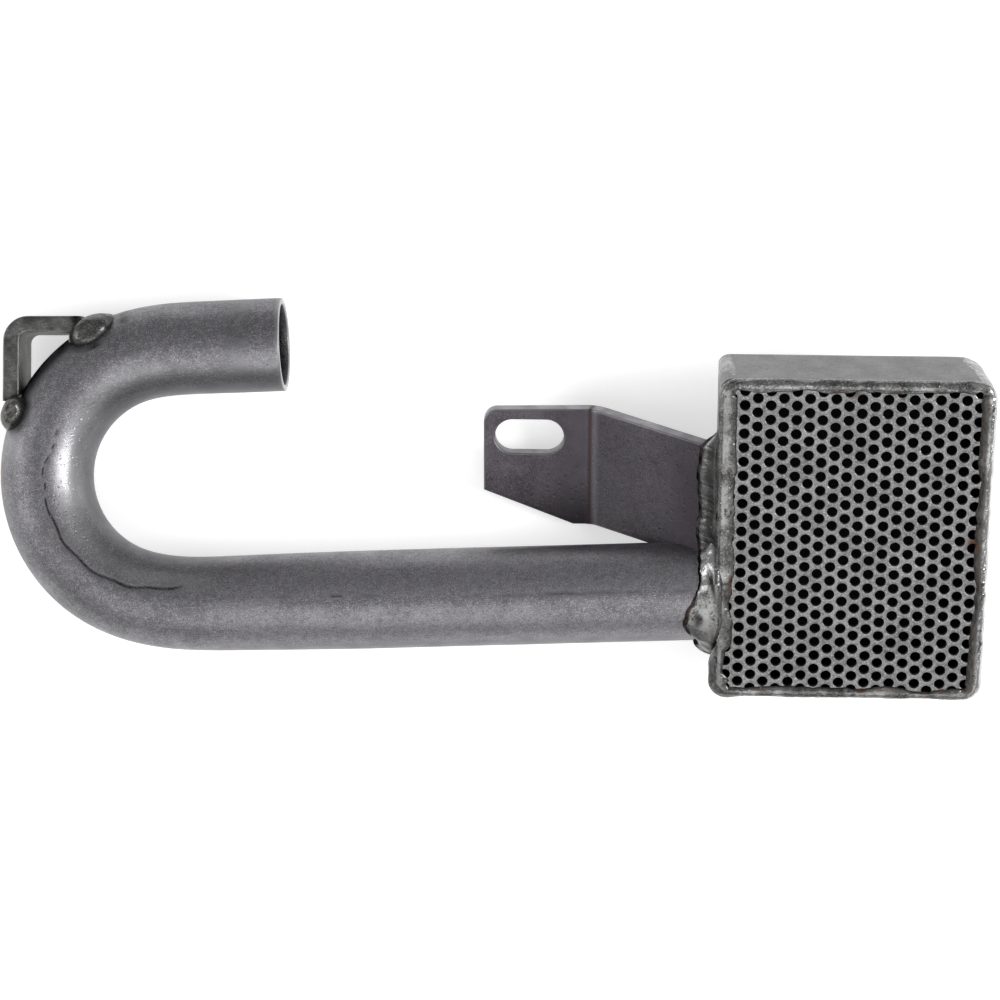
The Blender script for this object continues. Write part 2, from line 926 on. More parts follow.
def capped(rows: int, columns: int) -> Faces:
    """Faces of a loft of closed rings with both ends filled.

    Args:
        rows: Number of rings.
        columns: Points in a ring.

    Returns:
        The point numbers of each face.
    """
    faces = quads(grid_faces(rows, columns, False, True))
    faces.append(tuple(range(columns)))
    faces.append(tuple(range((rows - 1) * columns, rows * columns)))
    return faces


@dataclass
class TubeSkin:
    """The tube's points and what its marks follow: one number for each row, column or point.

    The rows run along the tube, and the columns round it from the outside of the bend. Outer is 1 on the
    outside and 0 in the bore.
    """

    layout: Layout
    points: Array
    along: Array
    angle: Array
    outer: Array
    crease: Array
    length: float

    def __post_init__(self) -> None:
        """Works out where each point lies on the tube and about the bend."""
        away = self.points - self.layout.bend_centre()
        self.out = np.hypot(away[..., 0], away[..., 1])
        self.round_at = np.degrees(np.arctan2(away[..., 1], away[..., 0])) % 360
        self.on_top = self.points[..., 2] > 0
        self.grain = rough(self.points, 3.0 * MM, 23)
        self.inward = -np.cos(self.angle)[None, :]
        self.bend = smooth_step((self.along - self.layout.lower_leg + 4 * MM) / (14 * MM))[:, None]
        self.inner_side = bump(self.inward - 0.52, 0.24)
        self.lip = bump(self.along - self.length, 0.35 * MM)[:, None] * np.ones_like(self.inward)
        self.flecks = self.seam()

    def seam(self) -> Array:
        """Dark flecks along the seam, which drifts round the top of the lower leg."""
        middle = np.radians(np.interp(self.along / MM, (14.0, 37.0, 60.0, 83.0), (92.0, 92.0, 95.0, 98.0)))
        line = bump(self.angle[None, :] - middle[:, None], 0.045)
        line = line * smooth_step((90 * MM - self.along) / (12 * MM))[:, None]
        stretched = self.points * np.array([0.35, 1.0, 1.0])
        return line * np.clip(0.1 + 1.0 * rough(stretched, 1.1 * MM, 37), 0.0, 0.8)

    def bright(self) -> Array:
        """The highlight inside the bend, its far left part, the glow beside it and the mouth's lip."""
        bright = self.bend * self.inner_side * (0.26 + 0.10 * self.grain)
        far_left = plateau(self.round_at - 165, 20, 15.0) * self.on_top
        bright = bright + far_left * bump(self.inward - 0.68, 0.15) * (0.80 + 0.10 * self.grain)
        glow = bump(self.round_at - 169, 6.0) * ramp(self.out, 27 * MM, 2 * MM) * self.on_top
        bright = bright + glow * (0.30 + 0.10 * self.grain)
        return np.maximum(bright, self.lip * 0.8)

    def dark(self) -> Array:
        """The crease, the seam's flecks, the rings by the mouth, shaded sides and the bore."""
        from_mouth = (self.length - self.along) / MM
        rings = plateau(from_mouth - 9.5, 3.5, 1.0) * (0.5 + 0.5 * np.sin(from_mouth * 9.0))
        past_bend = smooth_step((self.along - self.length + 50 * MM) / (15 * MM))[:, None]
        innermost = self.bend * ramp(self.inward, 0.76, 0.2) * (0.5 + 0.35 * past_bend + 0.2 * self.grain)
        under_edge = ramp(-self.inward, 0.80, 0.16) * (1 - self.bend) * (0.5 + 0.15 * self.grain)
        peak = bump(self.inward - 0.47, 0.13) * bump(self.round_at - 187, 14.0) * 0.55
        marks = (
            self.crease * 0.95,
            unit(self.flecks * 1.5),
            rings[:, None] * np.clip(0.25 + 0.3 * self.grain, 0, 0.6),
            innermost,
            under_edge * self.on_top,
            peak * self.on_top,
        )
        bore = (1.0 - self.outer) * 0.6 * (1 - self.lip)
        return np.maximum(np.maximum.reduce(marks) * self.outer, bore)

    def soot(self) -> Array:
        """Soot under the bar, round its welds, in the crease, along the seam and down the bore."""
        under_bar = ramp(self.out, 29.0 * MM, 3.0 * MM) * plateau(self.round_at - 134, 20, 5.0)
        beside = bump(np.hypot((self.round_at - 104.0) / 3.2, (self.out - 31.0 * MM) / (2.6 * MM)), 0.7)
        marks = [
            under_bar * (0.75 + 0.3 * self.grain),
            beside * self.on_top * (0.45 + 0.4 * self.grain),
            self.crease * 0.85,
            np.clip(self.flecks * 1.3 - 0.6, 0, 0.6),
        ]
        for place, radial, tangential in ((116.2, 3.3 * MM, 5.1 * MM), (156.0, 2.6 * MM, 3.8 * MM)):
            turned_by = (self.round_at - place) * math.pi / 180 * self.out
            away = np.hypot((self.out - 31.0 * MM) / radial, turned_by / tangential)
            halo = bump(np.maximum(away - 1.0, 0), 0.10) * self.on_top
            marks.append(halo * (0.40 + 0.3 * self.grain))
        bore = (1.0 - self.outer) * smooth_step((self.length - self.along) / (0.8 * MM))[:, None]
        return np.maximum(np.maximum.reduce(marks) * self.outer, bore)

    def rust(self) -> Array:
        """A few loose spots, and a spotted stain on the lower leg."""
        loose = spots(self.points, 6.0 * MM, 31, 1.25)
        stain = plateau(self.along[:, None] / MM - 72.0, 14.0, 6.0)
        stain = stain * bump(self.angle[None, :] - math.radians(72.0), 0.35)
        spotted = stain * spots(self.points, 1.3 * MM, 33, 0.75, 2)
        return np.maximum(loose, spotted * 1.4) * self.outer

    def coarse(self) -> Array:
        """Coarser grain in the bend, beside the seam and in a patch by the housing."""
        bend = self.bend * 0.5 + self.inner_side * self.bend * 0.4
        leg = smooth_step((88 * MM - self.along) / (12 * MM))[:, None]
        beside_seam = bump(self.angle[None, :] - math.radians(88.0), 0.09) * leg
        patch = bump(self.angle[None, :] - math.radians(74.0), 0.16)
        patch = patch * bump(self.along - 20.0 * MM, 9.0 * MM)[:, None]
        return np.maximum(bend, np.maximum(beside_seam * 0.9, patch)) * self.outer

    def masks(self) -> Masks:
        """All the tube's masks. The heat is a tint beside the housing."""
        heat = bump(self.along, 6.0 * MM)[:, None] * (0.35 + 0.3 * self.grain)
        return {
            "bright": self.bright(),
            "dark": self.dark(),
            "heat": heat,
            "rust": self.rust(),
            "soot": self.soot(),
            "coarse": self.coarse(),
        }


@dataclass
class SuctionTube:
    """The hooked tube with its die crease, its seam and its deburred mouth."""

    shop: Workshop
    sides: int = 168
    step: float = 0.75 * MM
    mouth_round: float = 0.35 * MM
    crease_depth: float = 0.16 * MM
    crease_width: float = 0.35 * MM
    crease_stops: tuple[tuple[float, float], ...] = (
        (100.0, 115.0), (107.0, 107.0), (112.0, 103.0), (118.0, 99.5),
        (124.0, 98.0), (144.0, 97.0), (147.0, 102.0), (155.0, 106.0),
    )

    def skin(self, along: Array, angle: Array, inset: Array) -> tuple[Array, Array]:
        """Points of the tube in the hook frame.

        The centre follows the bend line. Across it lies an ellipse: the cosine of the angle times the
        half width in the hook's plane, and the sine times the half width out of it. Both are the
        tube's radius, squashed by the bend, less the inset.

        Args:
            along: Distance from the housing wall, one for each row.
            angle: Angle round the tube, one for each column, 0 on the outside of the bend.
            inset: Depth below the outer skin, one for each row.

        Returns:
            The points, and the unit directions away from the centre line.
        """
        layout = self.shop.layout
        distance, x, y, heading = layout.bend_line()
        leg, bend_end = layout.lower_leg, layout.lower_leg + distance[-1]
        past = np.clip(along - leg, 0.0, distance[-1])
        facing = np.interp(past, distance, heading)
        beyond = np.maximum(along - bend_end, 0.0)
        centre_x = np.interp(past, distance, x) - np.minimum(along, leg) + beyond * np.cos(facing)
        centre_y = np.interp(past, distance, y) + beyond * np.sin(facing)
        into = smooth_step((along - leg + layout.squash_run) / (layout.squash_run + layout.run_in))
        out = smooth_step((along - bend_end + layout.run_out) / (layout.run_out + layout.upper_leg))
        squash = 1.0 + (layout.bend_squash - 1.0) * into + (layout.mouth_squash - layout.bend_squash) * out
        side_x, side_y = -np.sin(facing)[:, None], np.cos(facing)[:, None]
        flat = np.zeros_like(side_x)
        cos = np.cos(angle)
        outward = np.stack([side_x * cos, side_y * cos, flat + np.sin(angle)], axis=-1)
        across = cos * (layout.tube_radius * squash - inset)[:, None]
        height = np.sin(angle) * (layout.tube_radius * (2.0 - squash) - inset)[:, None]
        x, y = centre_x[:, None] + side_x * across, centre_y[:, None] + side_y * across
        return np.stack([x, y, height], axis=-1), outward

    def crease(self, along: Array, angle: Array) -> Array:
        """Share of the die crease: a thin band that wanders over the top of the bend.

        Its angle runs through a few stops along the tube and sways a little about them. Near its far
        end the band is narrower and broken into dashes.

        Args:
            along: Distance from the housing wall, one for each row.
            angle: Angle round the tube, one for each column.

        Returns:
            The share at each point, 1 on the band's middle.
        """
        stops = np.array(self.crease_stops)
        place = along / MM
        middle = np.radians(np.interp(place, stops[:, 0], stops[:, 1]) + 1.2 * np.sin(place / 1.3))
        reach = ramp(place, stops[0, 0], 3.0) * smooth_step((stops[-1, 0] - place) / 2.0)
        dashes = smooth_step(np.sin(place * 2.2) * 2.0 + 0.8)
        broken = np.where(place > 137.0, dashes, 1.0)
        across = (angle[None, :] - middle[:, None]) * self.shop.layout.tube_radius
        width = self.crease_width * (1.0 - 0.35 * ramp(place, 134.0, 4.0))[:, None]
        return bump(across, width) * (reach * broken)[:, None]

    def build(self) -> None:
        """The tube as one closed skin: outside, mouth, bore and back to the wall.

        The skin sinks in slow and quick waves and in the crease.
        """
        layout = self.shop.layout
        distance, _, _, _ = layout.bend_line()
        length = layout.lower_leg + distance[-1] + layout.upper_leg
        count = round(length / self.step)
        outside = np.linspace(0.0, length - self.mouth_round, count)
        turn_over = np.linspace(0.0, math.pi, 9)[1:-1]
        lip_along = length - self.mouth_round + self.mouth_round * np.sin(turn_over)
        lip_inset = layout.tube_wall / 2 * (1 - np.cos(turn_over))
        inside = np.linspace(length - self.mouth_round, 0.0, count // 3)
        along = np.concatenate([outside, lip_along, inside])
        inset = np.concatenate([np.zeros(count), lip_inset, np.full(len(inside), layout.tube_wall)])
        angle = np.arange(self.sides) * 2 * math.pi / self.sides
        points, outward = self.skin(along, angle, inset)
        outer = (np.arange(len(along)) < count)[:, None] * 1.0
        crease = self.crease(along, angle) * outer
        waves = rough(points, 12.0 * MM, 11, 2) * 0.025 * MM + rough(points, 2.2 * MM, 17, 2) * 0.004 * MM
        waves = np.minimum(waves - 0.03 * MM, 0.0)
        points = points + outward * ((waves - crease * self.crease_depth) * outer)[..., None]
        for row in (0, -1):
            points[row, :, 0] = layout.wall_beside(points[row, :, 1], points[row, :, 2])
        masks = TubeSkin(layout, points, along, angle, outer, crease, length).masks()
        faces = quads(grid_faces(len(along), self.sides, True, True))
        frame = self.shop.hook
        self.shop.piece("suction_tube", Slot.TUBE, frame, points, faces, masks, "pickup_tube")


@dataclass
class Strainer:
    """The folded housing, its corner welds, the screen and the weld round it."""

    shop: Workshop
    fold: float = 2.1 * MM
    corner: float = 2.4 * MM
    wide_corner: float = 5.8 * MM
    inset: float = 1.0 * MM
    pitch: float = 2.778 * MM
    hole: float = 2.0 * MM
    pattern_right: float = 0.82 * MM
    pattern_up: float = 0.62 * MM
    punch_round: float = 0.12 * MM
    hole_sides: int = 24
    lip: float = 2.45 * MM
    crest: float = 1.1 * MM
    bulge: float = 0.16 * MM
    ripple: float = 0.10 * MM
    weld_corner: float = 3.2 * MM
    inlet_length: float = 16.4 * MM
    inlet_width: float = 12.2 * MM

    def build(self) -> None:
        """Builds the four kinds of piece."""
        self.build_tray()
        self.build_screen()
        self.build_rim_weld()
        self.build_corner_welds()

    @staticmethod
    def ring(
        half_x: float, half_y: float, radius: float, side: int, bend: int, first: float | None = None
    ) -> tuple[Array, Array]:
        """A rounded rectangle with the same number of points whatever its size.

        Args:
            half_x: Half its width.
            half_y: Half its height.
            radius: Radius of its corners.
            side: Points along each straight side.
            bend: Points round each corner.
            first: Radius of its upper right corner, or None where that is like the others.

        Returns:
            The points and their outward directions, counterclockwise from the right side.
        """
        points, outward = [], []
        radii = [radius if first is None else first, radius, radius, radius]
        for quarter, (sign_x, sign_y) in enumerate(((1, 1), (-1, 1), (-1, -1), (1, -1))):
            own, following = radii[quarter], radii[(quarter + 1) % 4]
            centre = np.array([sign_x * (half_x - own), sign_y * (half_y - own)])
            angle = quarter * math.pi / 2 + np.linspace(0, math.pi / 2, bend)[:, None]
            direction = np.concatenate([np.cos(angle), np.sin(angle)], axis=1)
            points.append(centre + own * direction)
            outward.append(direction)
            along = np.array([-direction[-1, 1], direction[-1, 0]])
            run = 2 * (half_x if quarter % 2 == 0 else half_y) - own - following
            share = np.arange(1, side + 1)[:, None] / (side + 1)
            points.append(centre + own * direction[-1] + along * run * share)
            outward.append(np.repeat(direction[-1:], side, axis=0))
        return np.concatenate(points), np.concatenate(outward)

    def corner_radius(self, height: Array, wide: bool) -> Array:
        """Radius of a corner, which goes over from its size at the back to the rim weld's corner.

        Args:
            height: Heights above the housing's middle.
            wide: Whether it is the wide corner.

        Returns:
            The radius at each height.
        """
        layout = self.shop.layout
        share = smooth_step((height + layout.depth / 2) / (layout.rim + layout.depth / 2))
        back = self.wide_corner if wide else self.corner
        return back + (self.weld_corner - back) * share

    def tray_profile(self) -> list[tuple[float, float]]:
        """The tray's section: across the back, round the fold, up the wall, over the rim and in again.

        Returns:
            Pairs of inset from the housing's side and height.
        """
        layout = self.shop.layout
        back, outer, sheet = -layout.depth / 2, layout.width / 2, layout.sheet
        floor = back + sheet
        inner_fold = max(self.fold - sheet, 0.4 * MM)
        quarter = [(1 - math.sin(a), 1 - math.cos(a)) for a in np.linspace(0, math.pi / 2, 9)]
        flat = (outer - 0.1 * MM, outer * 0.6, outer * 0.25)
        profile = [(inset, back) for inset in flat]
        profile += [(self.fold * across, back + self.fold * up) for across, up in quarter]
        profile += [(0.0, height) for height in np.linspace(back + self.fold, layout.rim, 14)[1:]]
        profile += [(sheet, height) for height in np.linspace(layout.rim, floor + inner_fold, 8)]
        profile += [(sheet + inner_fold * up, floor + inner_fold * across) for across, up in quarter[1:]]
        return profile + [(inset, floor) for inset in flat[::-1]]

    def build_tray(self) -> None:
        """The folded sheet: rounded rectangles stacked along its section, with its sides a little dished."""
        layout = self.shop.layout
        rings = []
        for inset, height in self.tray_profile():
            radius = max(self.corner - inset, 0.05 * MM)
            first = max(float(self.corner_radius(np.array(height), True)) - inset, 0.05 * MM)
            ring, _ = self.ring(layout.width / 2 - inset, layout.height / 2 - inset, radius, 40, 10, first)
            rings.append(np.column_stack([ring, np.full(len(ring), height)]))
        points = np.stack(rings)
        dish = rough(points, 22.0 * MM, 41, 2) * 0.05 * MM
        for axis, size in enumerate((layout.width, layout.height)):
            side = np.sign(points[..., axis]) * (np.abs(points[..., axis]) > size / 2 - 2 * MM)
            points[..., axis] -= side * np.abs(dish)
        faces = capped(*points.shape[:2])
        masks, frame = self.tray_masks(points), self.shop.housing
        tray = self.shop.piece(
            "strainer_housing", Slot.SHEET, frame, points, faces, masks, "housing_tray", 50
        )
        self.cut_inlet(tray)

    def tray_masks(self, points: Array) -> Masks:
        """Where the sheet is bright at its folds, tinted by the welds, stained and dark inside.

        Args:
            points: The tray's points in the housing frame.

        Returns:
            The masks.
        """
        layout = self.shop.layout
        right, top = layout.width / 2, layout.height / 2
        x, y, z = points[..., 0], points[..., 1], points[..., 2]
        from_rim = layout.rim - z
        from_corner = np.hypot(right - np.abs(x), top - np.abs(y))
        grain = rough(points, 2.6 * MM, 43)
        heat = bump(from_rim, 1.7 * MM) * (0.55 + 0.4 * grain)
        heat = heat + bump(from_corner, 3.2 * MM) * (0.4 + 0.4 * grain)
        from_inlet = np.hypot(y + layout.inlet_offset, z)
        by_tube = (x < layout.wall_x + 0.5 * MM) * bump(np.maximum(from_inlet - 12 * MM, 0), 3.0 * MM)
        heat = heat + by_tube * (0.5 + 0.4 * grain)
        fold = bump(z + layout.depth / 2 - self.fold * 0.4, 0.9 * MM) * 0.3
        inside_x = np.abs(x) < right - layout.sheet + 0.2 * MM
        inside_y = np.abs(y) < top - layout.sheet + 0.2 * MM
        inside = inside_x & inside_y & (z > -layout.depth / 2 + layout.sheet / 2)
        weld_end = self.corner_radius(z, True) * (1 - 0.12) + 0.25 * MM * grain
        ends = bump(right - x - weld_end, 0.5 * MM) * (y > top - 0.4 * MM)
        rust = spots(points, 5.0 * MM, 47, 1.2)
        return {"bright": fold, "dark": ends * 0.9, "heat": heat * 0.8, "rust": rust, "soot": inside * 1.0}

    def cut_inlet(self, tray: Thing) -> None:
        """Cuts the long round inlet through the left wall, under the tube.

        Args:
            tray: The tray, whose mesh is replaced.
        """
        layout = self.shop.layout
        outline = long_round(self.inlet_length, self.inlet_width) - np.array([layout.inlet_offset, 0.0])
        ends = (layout.wall_x - 2 * layout.sheet, layout.wall_x + 2 * layout.sheet)
        slab = [np.column_stack([np.full(len(outline), end), outline]) for end in ends]
        mesh = bpy.data.meshes.new("inlet_cut")
        world = self.shop.housing.world(np.stack(slab))
        mesh.from_pydata(world.reshape(-1, 3).tolist(), [], capped(2, len(outline)))
        Workshop.face_outwards(mesh)
        cutter = add("inlet_cut", mesh)
        modifier = tray.modifiers.new("inlet", "BOOLEAN")
        modifier.object = cutter
        modifier.solver = "EXACT"
        done = finished(tray)
        tray.modifiers.clear()
        tray.data = done
        bpy.data.objects.remove(cutter, do_unlink=True)

    def hole_centres(self, half_x: float, half_y: float) -> Array:
        """Centres of a staggered pattern: columns of one pitch, every other one half a pitch up.

        Args:
            half_x: Half the plate's width.
            half_y: Half the plate's height.

        Returns:
            X and Y of each hole that the plate reaches.
        """
        column_step = self.pitch * math.sqrt(3) / 2
        reach_x = math.ceil(half_x / column_step) + 1
        reach_y = math.ceil(half_y / self.pitch) + 1
        column, row = np.meshgrid(np.arange(-reach_x, reach_x + 1), np.arange(-reach_y, reach_y + 1))
        x = column * column_step + self.pattern_right
        y = (row + (column % 2) * 0.5) * self.pitch + self.pattern_up
        near = (np.abs(x) < half_x + self.pitch * 0.55) & (np.abs(y) < half_y + self.pitch * 0.5)
        return np.column_stack([x[near], y[near]])

    def build_screen(self) -> None:
        """The punched plate, a hexagonal tile for each hole.

        Each tile has rings of points that go from the hexagon's edge to the hole's rounded lip, down
        the hole and back out below. Tiles over the plate's edge are clipped to it, so holes there
        stay part holes, which the weld covers.
        """
        layout = self.shop.layout
        half_x = layout.width / 2 - self.inset
        half_y = layout.height / 2 - self.inset
        angle = np.arange(self.hole_sides) * 2 * math.pi / self.hole_sides
        hexagon = self.pitch / 2 / np.cos((angle % (math.pi / 3)) - math.pi / 6)
        radius, lip = self.hole / 2, self.punch_round
        top = layout.screen_face
        low = top - layout.screen_thickness
        stops = [
            (hexagon, top), (radius + lip, top), (radius + lip * 0.3, top - lip * 0.3),
            (radius, top - lip), (radius, low), (hexagon, low),
        ]
        centres = self.hole_centres(half_x, half_y)
        tiles = []
        for reach, height in stops:
            x = centres[:, :1] + (reach * np.cos(angle))[None, :]
            y = centres[:, 1:] + (reach * np.sin(angle))[None, :]
            tiles.append(np.stack([x, y, np.full_like(x, height)], axis=-1))
        tile = grid_faces(len(stops), self.hole_sides, False, True)
        start = np.arange(len(centres))[:, None, None] * len(stops) * self.hole_sides
        faces = (tile[None] + start).reshape(-1, 4)
        points = np.stack(tiles, axis=1).reshape(-1, 3)
        points[:, :2] = np.clip(points[:, :2], (-half_x, -half_y), (half_x, half_y))
        points, faces = self.weld_points(points, faces)
        faces = np.concatenate([faces, self.edge_wall(points, faces, top, low)])
        under = top - points[:, 2]
        on_lip = (under > lip * 0.1) & (under < lip * 1.5)
        glint = unit(rough(points, 1.1 * MM, 59) * 1.5 - 0.2)
        masks = {
            "bright": on_lip * (0.25 + 0.70 * glint),
            "rust": self.copper(points),
            "soot": (under > lip * 1.5) * 0.9,
            "dark": rough(points, 2.0 * MM, 67) - 0.7,
        }
        tiles, frame = quads(faces), self.shop.housing
        self.shop.piece("punched_screen", Slot.SCREEN, frame, points, tiles, masks, "perforated_screen", 40)

    def copper(self, points: Array) -> Array:
        """Two small coppery spots at holes by the top and the right edge, and very faint ones elsewhere.

        Args:
            points: The screen's points in the housing frame.

        Returns:
            The rust at each point.
        """
        value = spots(points, 2.4 * MM, 61, 1.0, 2)
        for x, y in ((-0.8 * MM, 30.0 * MM), (22.6 * MM, 0.4 * MM)):
            value = np.maximum(value, bump(np.hypot(points[:, 0] - x, points[:, 1] - y), 1.3 * MM) * 0.9)
        return value

    @staticmethod
    def keys(points: Array) -> Array:
        """Whole numbers that are the same for points in the same place."""
        return np.round(points / STITCH).astype(np.int64)

    @classmethod
    def weld_points(cls, points: Array, faces: Array) -> tuple[Array, Array]:
        """Joins points that coincide and drops faces that have shrunk to a line.

        Args:
            points: Points.
            faces: Four point numbers for each quad.

        Returns:
            The points and the quads that are left.
        """
        _, first, index = np.unique(cls.keys(points), axis=0, return_index=True, return_inverse=True)
        points = points[first]
        faces = index.reshape(-1)[faces]
        ordered = np.sort(faces, axis=1)
        distinct = 1 + (np.diff(ordered, axis=1) > 0).sum(axis=1)
        corner = points[faces]
        area = np.linalg.norm(np.cross(corner[:, 2] - corner[:, 0], corner[:, 3] - corner[:, 1]), axis=1)
        return points, faces[(distinct == 4) & (area > 1e-12)]

    @classmethod
    def edge_wall(cls, points: Array, faces: Array, top: float, low: float) -> Array:
        """Quads down the plate's edge: each open edge of its top, joined to the points under it.

        Args:
            points: The plate's points.
            faces: Its quads.
            top: Height of its top.
            low: Height of its underside.

        Returns:
            Four point numbers for each new quad.
        """
        sides = np.concatenate([faces[:, [a, (a + 1) % 4]] for a in range(4)])
        ordered = np.sort(sides, axis=1)
        _, first, counts = np.unique(ordered, axis=0, return_index=True, return_counts=True)
        open_sides = sides[first[counts == 1]]
        upper = np.abs(points[open_sides][..., 2] - top).max(axis=1) < 1e-7
        reach = np.abs(points[:, :2]).max(axis=0)
        rim = (np.abs(points[:, :2]) > reach - 1e-7).any(axis=1)
        open_sides = open_sides[upper & rim[open_sides].all(axis=1)]
        number = {tuple(key): index for index, key in enumerate(cls.keys(points).tolist())}
        below = points[open_sides].copy()
        below[..., 2] = low
        pairs = cls.keys(below).tolist()
        under = np.array([[number.get(tuple(key), -1) for key in pair] for pair in pairs])
        good = (under >= 0).all(axis=1)
        return np.column_stack([open_sides[good][:, ::-1], under[good]])

    def build_rim_weld(self) -> None:
        """The bead round the screen.

        Its section is a spline through eight stops, from the wall over the crest to a wandering lip.
        Along the path, slanted ripples a little over a millimetre apart lift and drop the crest.
        """
        layout = self.shop.layout
        points, outward = self.ring(layout.width / 2, layout.height / 2, self.weld_corner, 150, 18)
        path = np.column_stack([points, np.zeros(len(points))])
        step = np.linalg.norm(np.diff(path, axis=0, append=path[:1]), axis=1)
        run = np.concatenate([[0.0], np.cumsum(step)[:-1]])
        slow = rough(path, 6.5 * MM, 71)
        quick = rough(path, 2.1 * MM, 73)
        left, above, below = (np.maximum(way, 0) for way in (-outward[:, 0], outward[:, 1], -outward[:, 1]))
        sides = 0.60 * left - 0.50 * above
        lip = self.lip + (sides - 0.25 * below) * MM + 0.40 * MM * slow + 0.26 * MM * quick
        lip = lip - 1.25 * MM * plateau(points[:, 1] + 24.6 * MM, 2.0 * MM, 1.0 * MM) * left
        from_corner = np.hypot(points[:, 0] + 25.0 * MM, points[:, 1] + 28.0 * MM)
        swollen = bump(np.maximum(from_corner - 3.0 * MM, 0), 2.0 * MM)
        bulge = self.bulge * (1.0 + 0.8 * quick) + 0.75 * MM * swollen
        top = layout.depth / 2
        crest = top - 0.10 * MM - 0.16 * MM * np.abs(slow)
        foot = layout.rim + layout.gap * 0.2
        seat = layout.screen_face - 0.05 * MM
        stops = [
            (-bulge * 0.4, foot),
            (-bulge, (crest + foot) / 2),
            (0.28 * MM, crest - 0.25 * MM),
            (self.crest, crest),
            (self.crest + (lip - self.crest) * 0.62, crest - 0.20 * MM),
            (lip, seat + 0.03 * MM),
            (lip * 0.75, seat - 0.25 * MM),
            (self.inset * 0.7, foot + 0 * lip),
        ]
        section = spline_ring(stop_corners(stops), 4)
        inward, height = section[..., 0], section[..., 1]
        face_up = smooth_step((height - foot) / (top - foot))
        spacing = 1.25 * MM + 0.25 * MM * noise(path, 5.0 * MM, 79)[:, None]
        ripples = coins(math.pi * (run[:, None] + inward * 0.9) / spacing)
        height = np.minimum(height + face_up * ripples * self.ripple, top)
        spread = points[:, None, :] - outward[:, None, :] * inward[..., None]
        bead = np.concatenate([spread, height[..., None]], axis=-1)
        bead[..., 2] += rough(bead, 0.8 * MM, 83, 2) * 0.03 * MM * face_up
        bead[..., 2] = np.minimum(bead[..., 2], top)
        lower_left = left * smooth_step((-points[:, 1] - 6 * MM) / (8 * MM))
        shade = (0.35 * below + 0.16 * lower_left + 0.24 * left)[:, None]
        outer_edge = bump(height - foot, 0.22 * MM) * (inward < 0.5 * MM)
        masks = self.rim_masks(bead, inward, lip[:, None], face_up, ripples, shade, outward[:, :1])
        masks["dark"] = masks["dark"] + outer_edge * (1 - 0.8 * np.maximum(outward[:, :1], 0)) * 0.4
        self.shop.weld("rim_bead", self.shop.housing, bead, masks, "screen_weld")

    @staticmethod
    def rim_masks(
        bead: Array,
        inward: Array,
        lip: Array,
        face_up: Array,
        ripples: Array,
        shade: Array,
        facing: Array,
    ) -> Masks:
        """Where the bead is lit, shaded, cracked, pitted and tinted.

        Args:
            bead: Its points.
            inward: How far each point lies from the housing's side.
            lip: How far the lip lies from it.
            face_up: How far the point is towards the crest.
            ripples: Height of the ripples.
            shade: Shade of the sides that face away from the light.
            facing: How far each section faces right.

        Returns:
            The masks.
        """
        right = np.maximum(facing, 0)
        share = inward / lip
        grain = rough(bead, 2.2 * MM, 89)
        edge = bump(inward - lip, 0.22 * MM)
        crack = bump(rough(bead, 2.6 * MM, 99, 2), 0.07) * (rough(bead, 5.0 * MM, 105, 2) > 0.35)
        pitted = spots(bead, 0.9 * MM, 109, 0.9, 2) * 2.0
        valley = unit(0.35 - (ripples + 0.6)) * face_up
        inner_slope = right * ramp(share, 0.36, 0.22)
        lit = right * 0.75 * bump(np.maximum(share - 0.12, 0), 0.18)
        hollows = valley * 0.35 + edge * 0.9 + crack * face_up + pitted
        return {
            "bright": face_up * unit(0.12 + 0.3 * grain - 0.3 * inner_slope) + lit,
            "dark": hollows + shade + 0.8 * inner_slope,
            "heat": spots(bead, 4.0 * MM, 97, 0.1) * 0.9,
            "rust": smooth_step((share - 0.55) / 0.3) * spots(bead, 3.0 * MM, 101, 0.35) * 1.1,
            "soot": edge * unit(0.3 + rough(bead, 1.4 * MM, 103)) * 0.9,
            "coarse": np.full_like(grain, 0.6),
        }

    def build_corner_welds(self) -> None:
        """A bead up each corner: a thick shell round the corner, proud in its middle and sunk at its sides.

        Its radius is the corner's at that height, plus a bump of the angle, ripples of the height and noise.
        """
        layout = self.shop.layout
        past = 0.12
        heights = np.linspace(-layout.depth / 2 + 0.5 * MM, layout.rim, 90)[:, None]
        turned = np.linspace(-past, math.pi / 2 + past, 30)[None, :]
        middle = smooth_step((math.pi / 4 + past - np.abs(turned - math.pi / 4)) / 0.5)
        fold = np.clip(self.fold - (heights + layout.depth / 2), 0, self.fold)
        tuck = self.fold - np.sqrt(np.maximum(self.fold**2 - fold**2, 0.0))
        for number, (place, sign_x, sign_y) in enumerate(CORNERS):
            radius = self.corner_radius(heights, place == "upper_right")
            sweep = np.stack([radius * turned, heights + 0 * turned, 0 * turned * heights], axis=-1)
            slow = rough(sweep, 3.5 * MM, 107 + number)
            quick = rough(sweep, 1.1 * MM, 117 + number, 2)
            slanted = heights - 0.4 * radius * turned
            ripples = coins(math.pi * slanted / (1.3 * MM) + slow)
            proud = 0.22 * middle - 0.10 + middle * (0.07 * slow + 0.03 * quick + 0.05 * ripples)
            outside = radius + proud * MM - tuck
            reach = np.concatenate([outside, np.maximum(outside[:, ::-1] - 1.2 * MM, 0.2 * MM)], axis=1)
            angle = np.concatenate([turned, turned[:, ::-1]], axis=1)
            x = np.minimum(layout.width / 2 - radius + reach * np.cos(angle), layout.width / 2 - tuck)
            y = np.minimum(layout.height / 2 - radius + reach * np.sin(angle), layout.height / 2 - tuck)
            bead = np.stack([sign_x * x, sign_y * y, heights + 0 * x], axis=-1)
            grain = rough(bead, 1.5 * MM, 113)
            valley = unit(-np.concatenate([ripples, ripples[:, ::-1]], axis=1) - 0.25)
